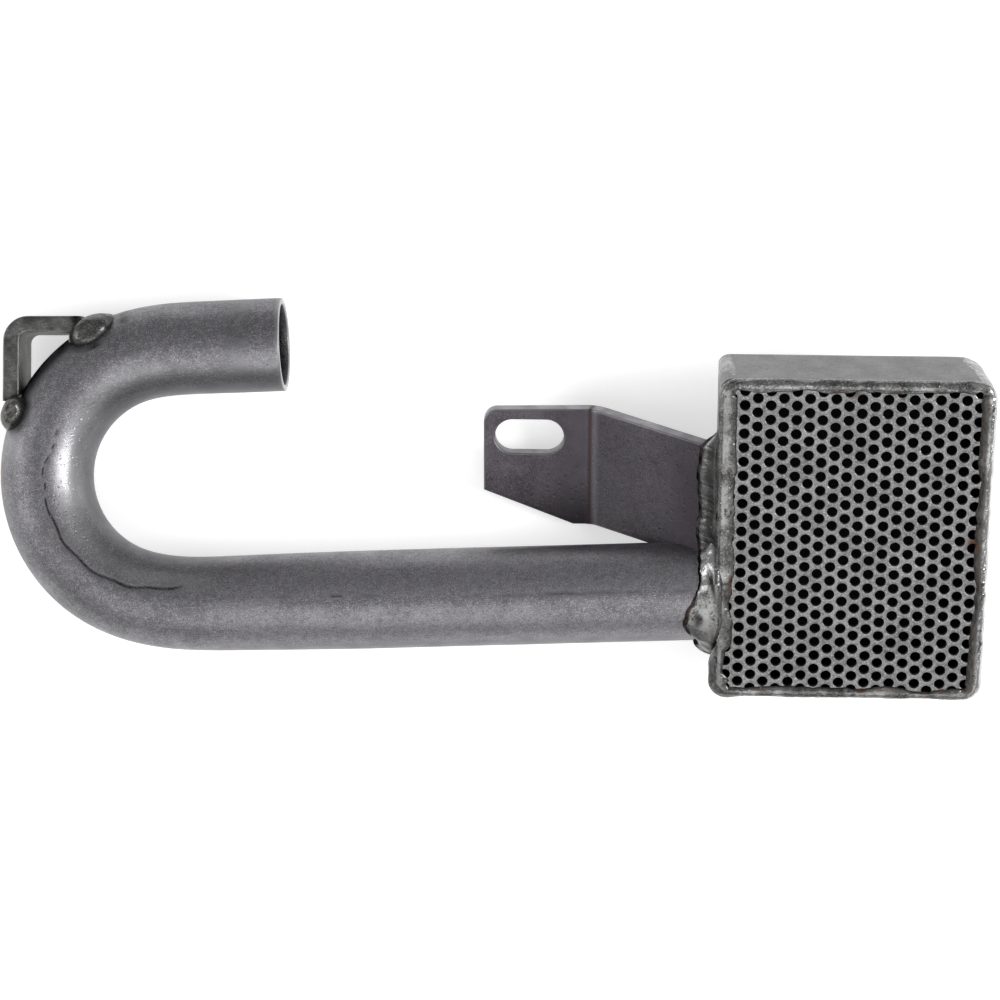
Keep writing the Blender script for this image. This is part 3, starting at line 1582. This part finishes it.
            side = np.concatenate([1 - middle, 1 - middle], axis=1)
            masks = {
                "bright": 0.05 + 0.3 * grain,
                "dark": valley + side * unit(0.2 + 0.5 * grain),
                "heat": unit(rough(bead, 3.0 * MM, 127)) * 0.8,
            }
            frame, node = self.shop.housing, "corner_weld_" + place
            self.shop.weld("corner_bead_" + place, frame, bead, masks, node, closed=False)


@dataclass
class TubeWeld:
    """The lumpy fillet between the tube and the housing wall."""

    shop: Workshop
    leg: float = 2.5 * MM
    run: float = 3.9 * MM
    lean: float = 0.36
    sections: int = 260

    def build(self) -> None:
        """The fillet, a spline section carried round the tube with lobes, ripples and a crater.

        Both legs of the section are their size times a sum of sines and noise of the angle, limited
        where the wall is no deeper than the tube.
        """
        layout = self.shop.layout
        angle = np.arange(self.sections) * 2 * math.pi / self.sections
        cos, sin = np.cos(angle), np.sin(angle)
        circle = np.column_stack([cos, sin, 0 * cos]) * 12 * MM
        swell = 1 + 0.08 * np.sin(3 * angle + 0.8) + 0.10 * rough(circle, 6 * MM, 131, 2)
        swell = swell + 0.05 * rough(circle, 1.5 * MM, 137, 2)
        inner = layout.tube_radius - 0.25 * MM
        depth_side = np.abs(sin * math.cos(layout.roll) - cos * math.sin(layout.roll))
        widest = (layout.depth / 2 + 1.0 * MM) / np.maximum(depth_side, 0.1)
        leg = np.minimum(self.leg * (swell + 0.5 * bump(angle - 0.65, 0.4)) + 0.4 * MM, widest - inner)
        run = self.run * swell * (1 - self.lean * cos) * (1 - 0.36 * smooth_step((-cos - 0.68) / 0.3))
        run = run + 0.7 * MM * bump(cos + 0.48, 0.2) * (sin > 0)
        zero = 0 * leg
        over = smooth_step((sin - 0.55) / 0.25) * 1.1 * MM
        stops = [
            (inner + zero, zero - 0.25 * MM),
            (inner + leg * 0.6, -over - 0.25 * MM),
            (inner + leg, 0.1 * MM - over * 0.5),
            (inner + leg * 0.88, run * 0.34),
            (inner + leg * 0.52, run * 0.70),
            (inner + 0.42 * MM + zero, run * 0.97),
            (inner + zero, run * 0.9),
        ]
        section = spline_ring(stop_corners(stops), 6)
        radius, away = section[..., 0], section[..., 1]
        y = radius * cos[:, None]
        z = radius * sin[:, None]
        x = layout.wall_beside(y, z) - away
        bead = np.stack([x, y, z], axis=-1)
        open_side = smooth_step((away / self.run + 0.05) * 3) * smooth_step((radius - inner) / (0.8 * MM))
        outward = np.column_stack([np.full_like(cos, -0.6), cos * 0.8, sin * 0.8])[:, None, :]
        ripples = coins(angle * 9 + rough(circle, 4 * MM, 139) * 2.5)[:, None]
        lumps = rough(bead, 3.6 * MM, 149, 2)
        crater = bump(np.linalg.norm(bead - np.array([-3.6, -5.4, 9.0]) * MM, axis=-1), 0.8 * MM)
        fold = np.hypot((y - 1.2 * MM) / 7.5, x + 0.7 * MM + (y - 1.2 * MM) * 0.22)
        crease = bump(fold, 0.40 * MM) * (z > 0)
        push = open_side * (ripples * 0.05 * MM + lumps * 0.30 * MM - crater * 0.5 * MM - crease * 0.5 * MM)
        bead = bead + outward * push[..., None]
        grain = rough(bead, 1.9 * MM, 151)
        underneath = smooth_step((-y - 8.6 * MM) / (1.5 * MM)) * (0.45 + 0.4 * grain)
        low_side = smooth_step((-y - 4.0 * MM) / (5.0 * MM)) * (0.45 + 0.3 * grain)
        lit = 0.5 * bump(y - 5.6 * MM, 4.2 * MM) * (z > 0)
        toe = smooth_step((away / run[:, None] - 0.80 - 0.06 * rough(bead, 1.6 * MM, 153)) / 0.08)
        masks = {
            "bright": open_side * unit(0.10 + 0.4 * grain + lit),
            "dark": 0.08 + 0.2 * grain + toe * 1.2 + crater + crease + low_side,
            "rust": toe * (0.25 + 0.9 * rough(bead, 2.6 * MM, 157)),
            "heat": unit(rough(bead, 3.0 * MM, 163)) * 0.7,
            "soot": toe * (0.7 + 0.4 * grain) + crease * 0.5 + underneath,
        }
        self.shop.weld("inlet_bead", self.shop.hook, bead, masks, "tube_weld")


@dataclass
class Bracket:
    """The slotted strip, bent up to the housing wall, and its weld."""

    shop: Workshop
    strip: float = 3.0 * MM
    tab_drop: float = 4.95 * MM
    tab_end: float = 45.0 * MM
    crease: float = 24.0 * MM
    crease_radius: float = 3.5 * MM
    below_rim: float = 2.16 * MM
    tab_top: float = 17.7 * MM
    tab_bottom: float = 1.1 * MM
    tab_corner: float = 2.6 * MM
    crease_top: float = 18.05 * MM
    crease_bottom: float = -5.8 * MM
    diagonal_end: float = 3.5 * MM
    flat_end: float = 1.5 * MM
    wall_top: float = 17.0 * MM
    wall_bottom: float = -6.4 * MM
    slot_length: float = 13.4 * MM
    slot_width: float = 6.9 * MM
    slot_from_end: float = 8.9 * MM
    slot_from_top: float = 5.45 * MM
    edge: float = 0.35 * MM
    weld_leg: float = 4.4 * MM
    weld_bulge: float = 0.8 * MM
    weld_overrun: float = 3.7 * MM

    @property
    def rise(self) -> float:
        """Slope of the strip, which brings its front to its place under the rim."""
        layout = self.shop.layout
        climb = layout.rim - self.below_rim + layout.depth / 2 + self.tab_drop
        return math.atan2(climb, self.crease)

    def build(self) -> None:
        """Builds the strip and the weld."""
        self.build_strip()
        self.build_weld()

    def outline(self) -> list[tuple[float, float]]:
        """The strip's outline from the front, counterclockwise from the wall.

        Returns:
            X and Y of each corner.
        """
        wall_x, round_off = self.shop.layout.wall_x, self.tab_corner
        end, crease, wall = wall_x - self.tab_end, wall_x - self.crease, wall_x - self.shop.layout.gap
        centre_x, centre_y = end + round_off, self.tab_top - round_off
        points = [(wall, self.wall_top), (crease, self.crease_top)]
        for angle in np.linspace(math.pi / 2, math.pi, 12):
            points.append((centre_x + round_off * math.cos(angle), centre_y + round_off * math.sin(angle)))
        points += [(end, self.tab_bottom), (crease - self.diagonal_end, self.crease_bottom)]
        points += [(crease + self.flat_end, self.crease_bottom), (wall, self.wall_bottom)]
        return points

    def slot_outline(self) -> Array:
        """The slot's outline in the tab."""
        x = self.shop.layout.wall_x - self.tab_end + self.slot_from_end
        y = self.tab_top - self.slot_from_top
        return long_round(self.slot_length, self.slot_width) + np.array([x, y])

    def build_strip(self) -> None:
        """The strip: a flat plate with bevelled edges, cut across its bend and then raised along it.

        The front of the strip is level up to the crease, follows an arc and then a slope: its height
        is a function of x alone, and the plate's thickness is laid square to that line.
        """
        flat, faces = self.flat_plate()
        points = self.raise_points(flat)
        masks = self.strip_masks(flat, points)
        frame = self.shop.housing
        self.shop.piece("slotted_bracket", Slot.BRACKET, frame, points, faces, masks, "mount_bracket", 40)

    def flat_plate(self) -> tuple[Array, Faces]:
        """The flat plate, cut across where it bends and along where its marks change.

        Returns:
            Its points, and the point numbers of its faces.
        """
        curve = bpy.data.curves.new("strip", "CURVE")
        curve.dimensions = "2D"
        curve.fill_mode = "BOTH"
        curve.extrude = self.strip / 2 - self.edge
        curve.bevel_depth = self.edge
        curve.bevel_resolution = 3
        curve.offset = -self.edge
        for outline in (self.outline(), self.slot_outline()):
            spline = curve.splines.new("POLY")
            spline.points.add(len(outline) - 1)
            flat = np.column_stack([np.array(outline), np.zeros(len(outline)), np.ones(len(outline))])
            spline.points.foreach_set("co", flat.reshape(-1))
            spline.use_cyclic_u = True
        holder = add("strip", curve)
        mesh = finished(holder)
        bpy.data.objects.remove(holder, do_unlink=True)
        body = bmesh.new()
        body.from_mesh(mesh)
        bmesh.ops.remove_doubles(body, verts=body.verts, dist=0.001 * MM)
        cuts = [((x, 0, 0), (1, 0, 0)) for x in self.cut_lines()]
        rows = np.linspace(self.crease_bottom, self.crease_top, 26)[1:-1]
        cuts += [((0, float(y), 0), (0, 1, 0)) for y in rows]
        for place, across in cuts:
            everything = body.verts[:] + body.edges[:] + body.faces[:]
            bmesh.ops.bisect_plane(body, geom=everything, plane_co=place, plane_no=across)
        body.verts.index_update()
        flat = np.array([vertex.co for vertex in body.verts])
        faces = [tuple(vertex.index for vertex in face.verts) for face in body.faces]
        body.free()
        return flat, faces

    def cut_lines(self) -> Array:
        """Where the flat plate is cut across: close together in the bend, and evenly elsewhere.

        Returns:
            X of each cut.
        """
        wall_x = self.shop.layout.wall_x
        tangent = self.crease_radius * math.tan(self.rise / 2)
        bend = np.linspace(-tangent, self.crease_radius * math.sin(self.rise) - tangent, 13)
        even = np.arange(wall_x - self.tab_end + 1 * MM, wall_x, 0.45 * MM)
        return np.concatenate([even, wall_x - self.crease + bend])

    def raise_points(self, flat: Array) -> Array:
        """Lays the flat plate on the strip's line: across x as it is, and square to the line in depth.

        Args:
            flat: The flat plate's points.

        Returns:
            The raised points in the housing frame.
        """
        layout = self.shop.layout
        start = layout.wall_x - self.crease - self.crease_radius * math.tan(self.rise / 2)
        past = flat[:, 0] - start
        slope = np.arcsin(np.clip(past / self.crease_radius, 0.0, math.sin(self.rise)))
        bend_end = self.crease_radius * math.sin(self.rise)
        height = self.crease_radius * (1 - np.cos(slope))
        height = height + np.maximum(past - bend_end, 0) * math.tan(self.rise)
        front = -layout.depth / 2 - self.tab_drop + height
        depth = flat[:, 2] - self.strip / 2
        x = flat[:, 0] - depth * np.sin(slope)
        z = front + depth * np.cos(slope)
        x = np.minimum(x, layout.wall_x - layout.gap)
        return np.column_stack([x, flat[:, 1], z])

    def strip_masks(self, flat: Array, points: Array) -> Masks:
        """Bright edges, a dark crease and tint beside the weld.

        Args:
            flat: The flat plate's points.
            points: The same points, raised.

        Returns:
            The masks.
        """
        from_wall = flat[:, 0] - self.shop.layout.wall_x
        from_crease = from_wall + self.crease
        height = np.abs(flat[:, 2])
        half = self.strip / 2
        grain = rough(points, 2.2 * MM, 173)
        rim = smooth_step((height - half + self.edge * 1.05) / (self.edge * 0.7))
        side = smooth_step((half - self.edge * 0.6 - height) / (0.2 * MM))
        edge_band = np.where(side > 0.5, 0.5 + 0.3 * grain, 0.0)
        corner = rim * (1 - smooth_step((height - half + 0.02 * MM) / (0.02 * MM)))
        line = bump(from_crease + 0.35 * MM, 0.38 * MM)
        bright_line = bump(from_crease - 0.75 * MM, 0.5 * MM)
        level = smooth_step(-from_crease / (1.5 * MM)) * (height > half - 0.05 * MM)
        to_crease = smooth_step((from_wall + 38 * MM) / (14 * MM))
        to_weld = smooth_step((from_wall + 13 * MM) / (9 * MM))
        shade = level * (0.22 + 0.45 * to_crease) + 0.45 * to_weld
        return {
            "bright": edge_band + corner * 0.5 + bright_line * 0.30 + 0.10 * (1 - level) * (1 - to_weld),
            "dark": line * 0.9 + unit(grain - 0.9) + shade,
            "coarse": level * 0.65 + 0.15,
            "heat": bump(from_wall, 5.0 * MM) * (0.6 + 0.4 * grain),
            "rust": line * 0.5 + spots(points, 4.0 * MM, 179, 0.9),
            "soot": bump(from_wall, 2.5 * MM) * unit(0.3 + 0.5 * grain),
        }

    def build_weld(self) -> None:
        """The bead on the strip's front: a spline section carried up the wall, rippled like stacked coins."""
        layout = self.shop.layout
        front = -layout.depth / 2 - self.tab_drop + self.crease * math.tan(self.rise)
        corner_x = layout.wall_x - layout.gap + 0.2 * MM
        corner_z = front - 0.2 * MM
        low, high = -8.5 * MM, self.wall_top + self.weld_overrun
        heights = np.linspace(low, high, 150)
        share = (heights - low) / (high - low)
        spine = np.column_stack([heights * 0, heights, heights * 0])
        wander = rough(spine, 3.0 * MM, 181)
        size = (0.45 + 0.55 * smooth_step(10 * share)) * (1 + 0.10 * wander)
        size = size * np.clip((high - heights) / (self.weld_overrun * 1.05), 0.07, 1.0)
        leg = self.weld_leg * size
        rise = (layout.rim - corner_z) * size
        bulge = self.weld_bulge * size
        along_x, along_z = -math.cos(self.rise), -math.sin(self.rise)
        stops = [
            (corner_x, corner_z + 0 * leg),
            (corner_x + along_x * leg * 0.95, corner_z + along_z * leg * 0.95),
            (corner_x + along_x * leg * 0.85 - bulge * 0.5, corner_z + along_z * leg * 0.8 + bulge * 1.0),
            (corner_x + along_x * leg * 0.55, corner_z + along_z * leg * 0.5 + bulge * 1.5),
            (corner_x + along_x * leg * 0.25, corner_z + rise * 0.25 + bulge * 0.2),
            (corner_x - bulge * 0.45, corner_z + rise * 0.65),
            (corner_x - bulge * 0.2, corner_z + rise * 0.97),
            (corner_x, corner_z + rise * 0.9),
        ]
        section = spline_ring(stop_corners(stops), 5)
        bow = (section[..., 0] - layout.wall_x) * 0.25
        phase = (heights[:, None] + bow) / (2.3 * MM) + 0.9 * wander[:, None]
        ripples = coins(math.pi * phase)
        open_side = smooth_step((corner_x - section[..., 0]) / (0.7 * MM))
        x = section[..., 0] - open_side * ripples * 0.07 * MM
        z = section[..., 1] + open_side * ripples * 0.07 * MM
        bead = np.stack([x, np.repeat(heights[:, None], x.shape[1], axis=1), z], axis=-1)
        bead[..., 0] += rough(bead, 1.4 * MM, 191) * 0.06 * MM
        bead[..., 0] = np.minimum(bead[..., 0], layout.wall_x - 0.02 * MM)
        grain = rough(bead, 1.6 * MM, 193)
        across = (corner_x - x) / (leg[:, None] * math.cos(self.rise))
        undercut = smooth_step((across - 0.84) / 0.07) * (0.85 + 0.3 * grain)
        ridge = bump(across - 0.70 - 0.06 * wander[:, None], 0.08) * unit(0.3 + 0.9 * grain)
        valley = bump(across - 0.36, 0.22)
        masks = {
            "bright": unit(ridge * 0.6 + unit(grain - 0.6) * 0.4) * open_side,
            "dark": 0.3 + undercut + valley * 0.5 + 0.3 * grain + unit(-ripples - 0.4) * 0.3,
            "soot": undercut * unit(0.6 + 0.5 * grain),
            "rust": spots(bead, 3.0 * MM, 197, 0.5) * 1.3,
            "heat": spots(bead, 3.0 * MM, 199, 0.1) * 0.7,
        }
        self.shop.weld("bracket_bead", self.shop.housing, bead, masks, "bracket_weld", closed=False)


@dataclass
class DriveBar:
    """The bent flat bar outside the bend, and the weld lump over each of its ends."""

    shop: Workshop
    thickness: float = 3.175 * MM
    width: float = 12.7 * MM
    left: float = 31.7 * MM
    above: float = 30.5 * MM
    foot: float = 15.1 * MM
    head: float = 18.1 * MM
    bend_radius: float = 1.7 * MM
    lean: float = math.radians(-1.9)
    edge: float = 0.45 * MM
    lump_depth: float = 9.3 * MM
    lump_power: float = 0.62

    def build(self) -> None:
        """Builds the bar and both lumps."""
        self.build_bar()
        self.build_lump("upper", math.radians(116.2), 31.0 * MM, (3.3 * MM, 5.1 * MM))
        self.build_lump("lower", math.radians(156.2), 31.8 * MM, (2.6 * MM, 3.8 * MM))

    def line(self) -> tuple[Array, Array]:
        """The bar's middle line: up the left arm, round the corner and across.

        Returns:
            Its points and its outward directions.
        """
        middle = self.bend_radius + self.thickness / 2
        x_left = -self.left + self.thickness / 2
        y_top = self.above - self.thickness / 2
        up = np.linspace(self.foot - 1.0 * MM, y_top - middle, 26)
        angle = np.linspace(math.pi, math.pi / 2, 14)[1:-1]
        across = np.linspace(x_left + middle, -self.head + 1.5 * MM, 20)
        x = np.concatenate([np.full(len(up), x_left), x_left + middle + middle * np.cos(angle), across])
        y = np.concatenate([up, y_top - middle + middle * np.sin(angle), np.full(len(across), y_top)])
        out_x = np.concatenate([np.full(len(up), -1.0), np.cos(angle), np.zeros(len(across))])
        out_y = np.concatenate([np.zeros(len(up)), np.sin(angle), np.ones(len(across))])
        return np.column_stack([x, y]), np.column_stack([out_x, out_y])

    def build_bar(self) -> None:
        """The bar: a rectangle with rounded corners carried along its middle line."""
        line, outward = self.line()
        section, _ = Strainer.ring(self.thickness / 2, self.width / 2, self.edge, 8, 5)
        spread = line[:, None, :] + outward[:, None, :] * section[None, :, :1]
        height = np.repeat(section[None, :, 1:], len(line), axis=0)
        points = np.concatenate([spread, height], axis=-1)
        top = np.abs(points[..., 2]) > self.width / 2 - 0.05 * MM
        points[..., 2] -= np.sign(points[..., 2]) * (0.05 + 0.05 * rough(points, 1.2 * MM, 211)) * MM * top
        face = np.abs(section[None, :, 0]) > self.thickness / 2 - 0.02 * MM
        wear = (0.03 + 0.03 * rough(points, 2.5 * MM, 223)) * MM * face
        shift = outward[:, None, :] * np.sign(section[None, :, :1]) * wear[..., None]
        points[..., :2] -= shift
        grain = rough(points, 1.6 * MM, 227)
        edge = bump(np.abs(points[..., 2]) - self.width / 2 + 0.1 * MM, 0.35 * MM) * (~top)
        inner = section[None, :, 0] < -self.thickness / 2 + 0.1 * MM
        ends = np.minimum(np.arange(len(line)), np.arange(len(line))[::-1])[:, None] * np.ones_like(grain)
        masks = {
            "bright": edge * (0.4 + 0.4 * grain) + inner * 0.08,
            "dark": top * unit(0.4 + 0.5 * grain),
            "soot": bump(ends, 5.0) * (0.5 + 0.5 * grain),
            "rust": grain - 0.9,
            "heat": bump(ends, 9.0) * 0.5,
        }
        faces, frame = capped(*points.shape[:2]), self.shop.hook
        points = points @ turn("Z", self.lean).T + self.shop.layout.bend_centre()
        self.shop.piece("bent_drive_bar", Slot.BAR, frame, points, faces, masks, "drive_bar")

    def build_lump(
        self, place: str, angle: float, reach: float, half: tuple[float, float]
    ) -> None:
        """A lump of weld that stands over the bar's end and the tube's top.

        It is a rounded block: the sine and cosine of the latitude, each to a power under one, times its
        half sizes. Noise pushes it in and out.

        Args:
            place: Which end of the bar it is on.
            angle: Where it lies about the middle of the bend.
            reach: How far from the middle of the bend its own middle lies.
            half: Its half size away from the bend's middle and its half size along the tube.
        """
        rows, columns = 90, 96
        latitude = np.linspace(0, math.pi, rows)[:, None]
        longitude = np.arange(columns)[None, :] * 2 * math.pi / columns
        upright = np.cos(latitude) + 0 * longitude
        height = np.sign(upright) * np.abs(upright) ** self.lump_power
        side = np.abs(np.sin(latitude)) ** self.lump_power
        block = np.stack([side * np.cos(longitude), side * np.sin(longitude), height], axis=-1)
        push = 1 + 0.05 * rough(block, 0.9, 229 + int(half[1] / MM), 2)
        points = block * np.array([half[0], half[1], self.lump_depth]) * push[..., None]
        points = points @ turn("Z", angle).T
        points = points + reach * np.array([math.cos(angle), math.sin(angle), 0.0])
        grain = rough(points, 1.6 * MM, 233)
        rim = smooth_step((0.86 - np.abs(block[..., 2])) / 0.25)
        masks = {
            "dark": rim * (0.26 + 0.4 * grain) + 0.34 + 0.15 * grain,
            "soot": rim * (0.1 + 0.4 * grain) + 0.14,
            "coarse": np.full_like(grain, 0.5),
            "heat": unit(grain - 0.2) * 0.5,
        }
        faces = quads(grid_faces(rows, columns, False, True))
        points = points + self.shop.layout.bend_centre()
        name, replaced = "drive_bar_lump_" + place, "drive_bar_weld_" + place
        self.shop.piece(name, Slot.WELD, self.shop.hook, points, faces, masks, replaced)


@dataclass
class Studio:
    """The floor, the lamps and the camera."""

    layout: Layout
    hook: Placement
    lens: float = 108.0
    sensor: float = 36.0
    distance: float = 577.43 * MM
    back: float = 41.18 * MM
    up: float = 17.37 * MM
    lean: float = math.radians(-1.6)
    floor_half: float = 3.0
    floor_white: float = 0.78
    floor_glow: float = 0.50

    def build(self) -> None:
        """Sets the camera, the floor, the lamps and the world."""
        self.build_camera()
        self.build_floor()
        self.build_lamps()
        bpy.context.scene.view_settings.view_transform = "Standard"

    def build_camera(self) -> None:
        """A camera that looks straight down on the part, turned as the photograph is."""
        data = bpy.data.cameras.new("camera")
        data.lens = self.lens
        data.sensor_width = self.sensor
        camera = add("camera", data)
        right = np.array([math.cos(self.lean), math.sin(self.lean), 0.0])
        above = np.array([-math.sin(self.lean), math.cos(self.lean), 0.0])
        over = self.hook.origin - self.back * right + self.up * above
        camera.location = over + np.array([0, 0, self.distance])
        camera.rotation_euler = (0.0, 0.0, self.lean)
        bpy.context.scene.camera = camera

    def build_floor(self) -> None:
        """A pale floor that keeps the shadow and shows as white to the camera and to the steel."""
        half = self.floor_half
        corners = [(-half, -half, 0), (half, -half, 0), (half, half, 0), (-half, half, 0)]
        mesh = bpy.data.meshes.new("floor")
        mesh.from_pydata(corners, [], [(0, 1, 2, 3)])
        floor = add("floor", mesh)
        floor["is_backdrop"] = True
        material = bpy.data.materials.new("pale_floor")
        material.use_nodes = True
        net = Net(material.node_tree)
        material.node_tree.nodes.remove(material.node_tree.nodes["Principled BSDF"])
        diffuse = net.node("ShaderNodeBsdfDiffuse")
        diffuse.inputs["Color"].default_value = grey(self.floor_white)
        glow = net.node("ShaderNodeEmission")
        path = net.node("ShaderNodeLightPath")
        seen = net.math("MAXIMUM", path.outputs["Is Camera Ray"], path.outputs["Is Glossy Ray"])
        net.link(net.times(seen, self.floor_glow), glow.inputs["Strength"])
        both = net.node("ShaderNodeAddShader")
        net.link(diffuse.outputs["BSDF"], both.inputs[0])
        net.link(glow.outputs["Emission"], both.inputs[1])
        net.link(both.outputs["Shader"], material.node_tree.nodes["Material Output"].inputs["Surface"])
        mesh.materials.append(material)

    def build_lamps(self) -> None:
        """Three soft lamps round a grey world."""
        world = bpy.data.worlds.new("studio")
        world.use_nodes = True
        world.node_tree.nodes["Background"].inputs["Color"].default_value = (0.46, 0.46, 0.47, 1.0)
        bpy.context.scene.world = world
        lamps = (
            ("lamp_low", (-0.10, -0.80, 1.10), 1.35, 8.2),
            ("lamp_right", (1.08, -0.10, 1.00), 0.55, 12.5),
            ("lamp_left", (-1.10, 0.00, 0.60), 0.70, 4.2),
        )
        for name, place, size, power in lamps:
            data = bpy.data.lights.new(name, "AREA")
            data.size = size
            data.energy = power
            lamp = add(name, data)
            lamp.location = place
            reach = np.array(place)
            flat = math.hypot(reach[0], reach[1])
            lamp.rotation_euler = (0.0, math.atan2(flat, reach[2]), math.atan2(reach[1], reach[0]))


def main() -> None:
    """Loads the frame, builds every sub-assembly in order and notes the sizes before and after."""
    logging.basicConfig(level=logging.INFO)
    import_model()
    cad_box = [list(corner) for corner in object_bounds()]
    layout = Layout()
    hook, housing = layout.placements()
    shop = Workshop(layout, hook, housing, (cad_box[0], cad_box[1]))
    SuctionTube(shop).build()
    Strainer(shop).build()
    TubeWeld(shop).build()
    Bracket(shop).build()
    DriveBar(shop).build()
    Studio(layout, hook).build()


if __name__ == "__main__":
    main()
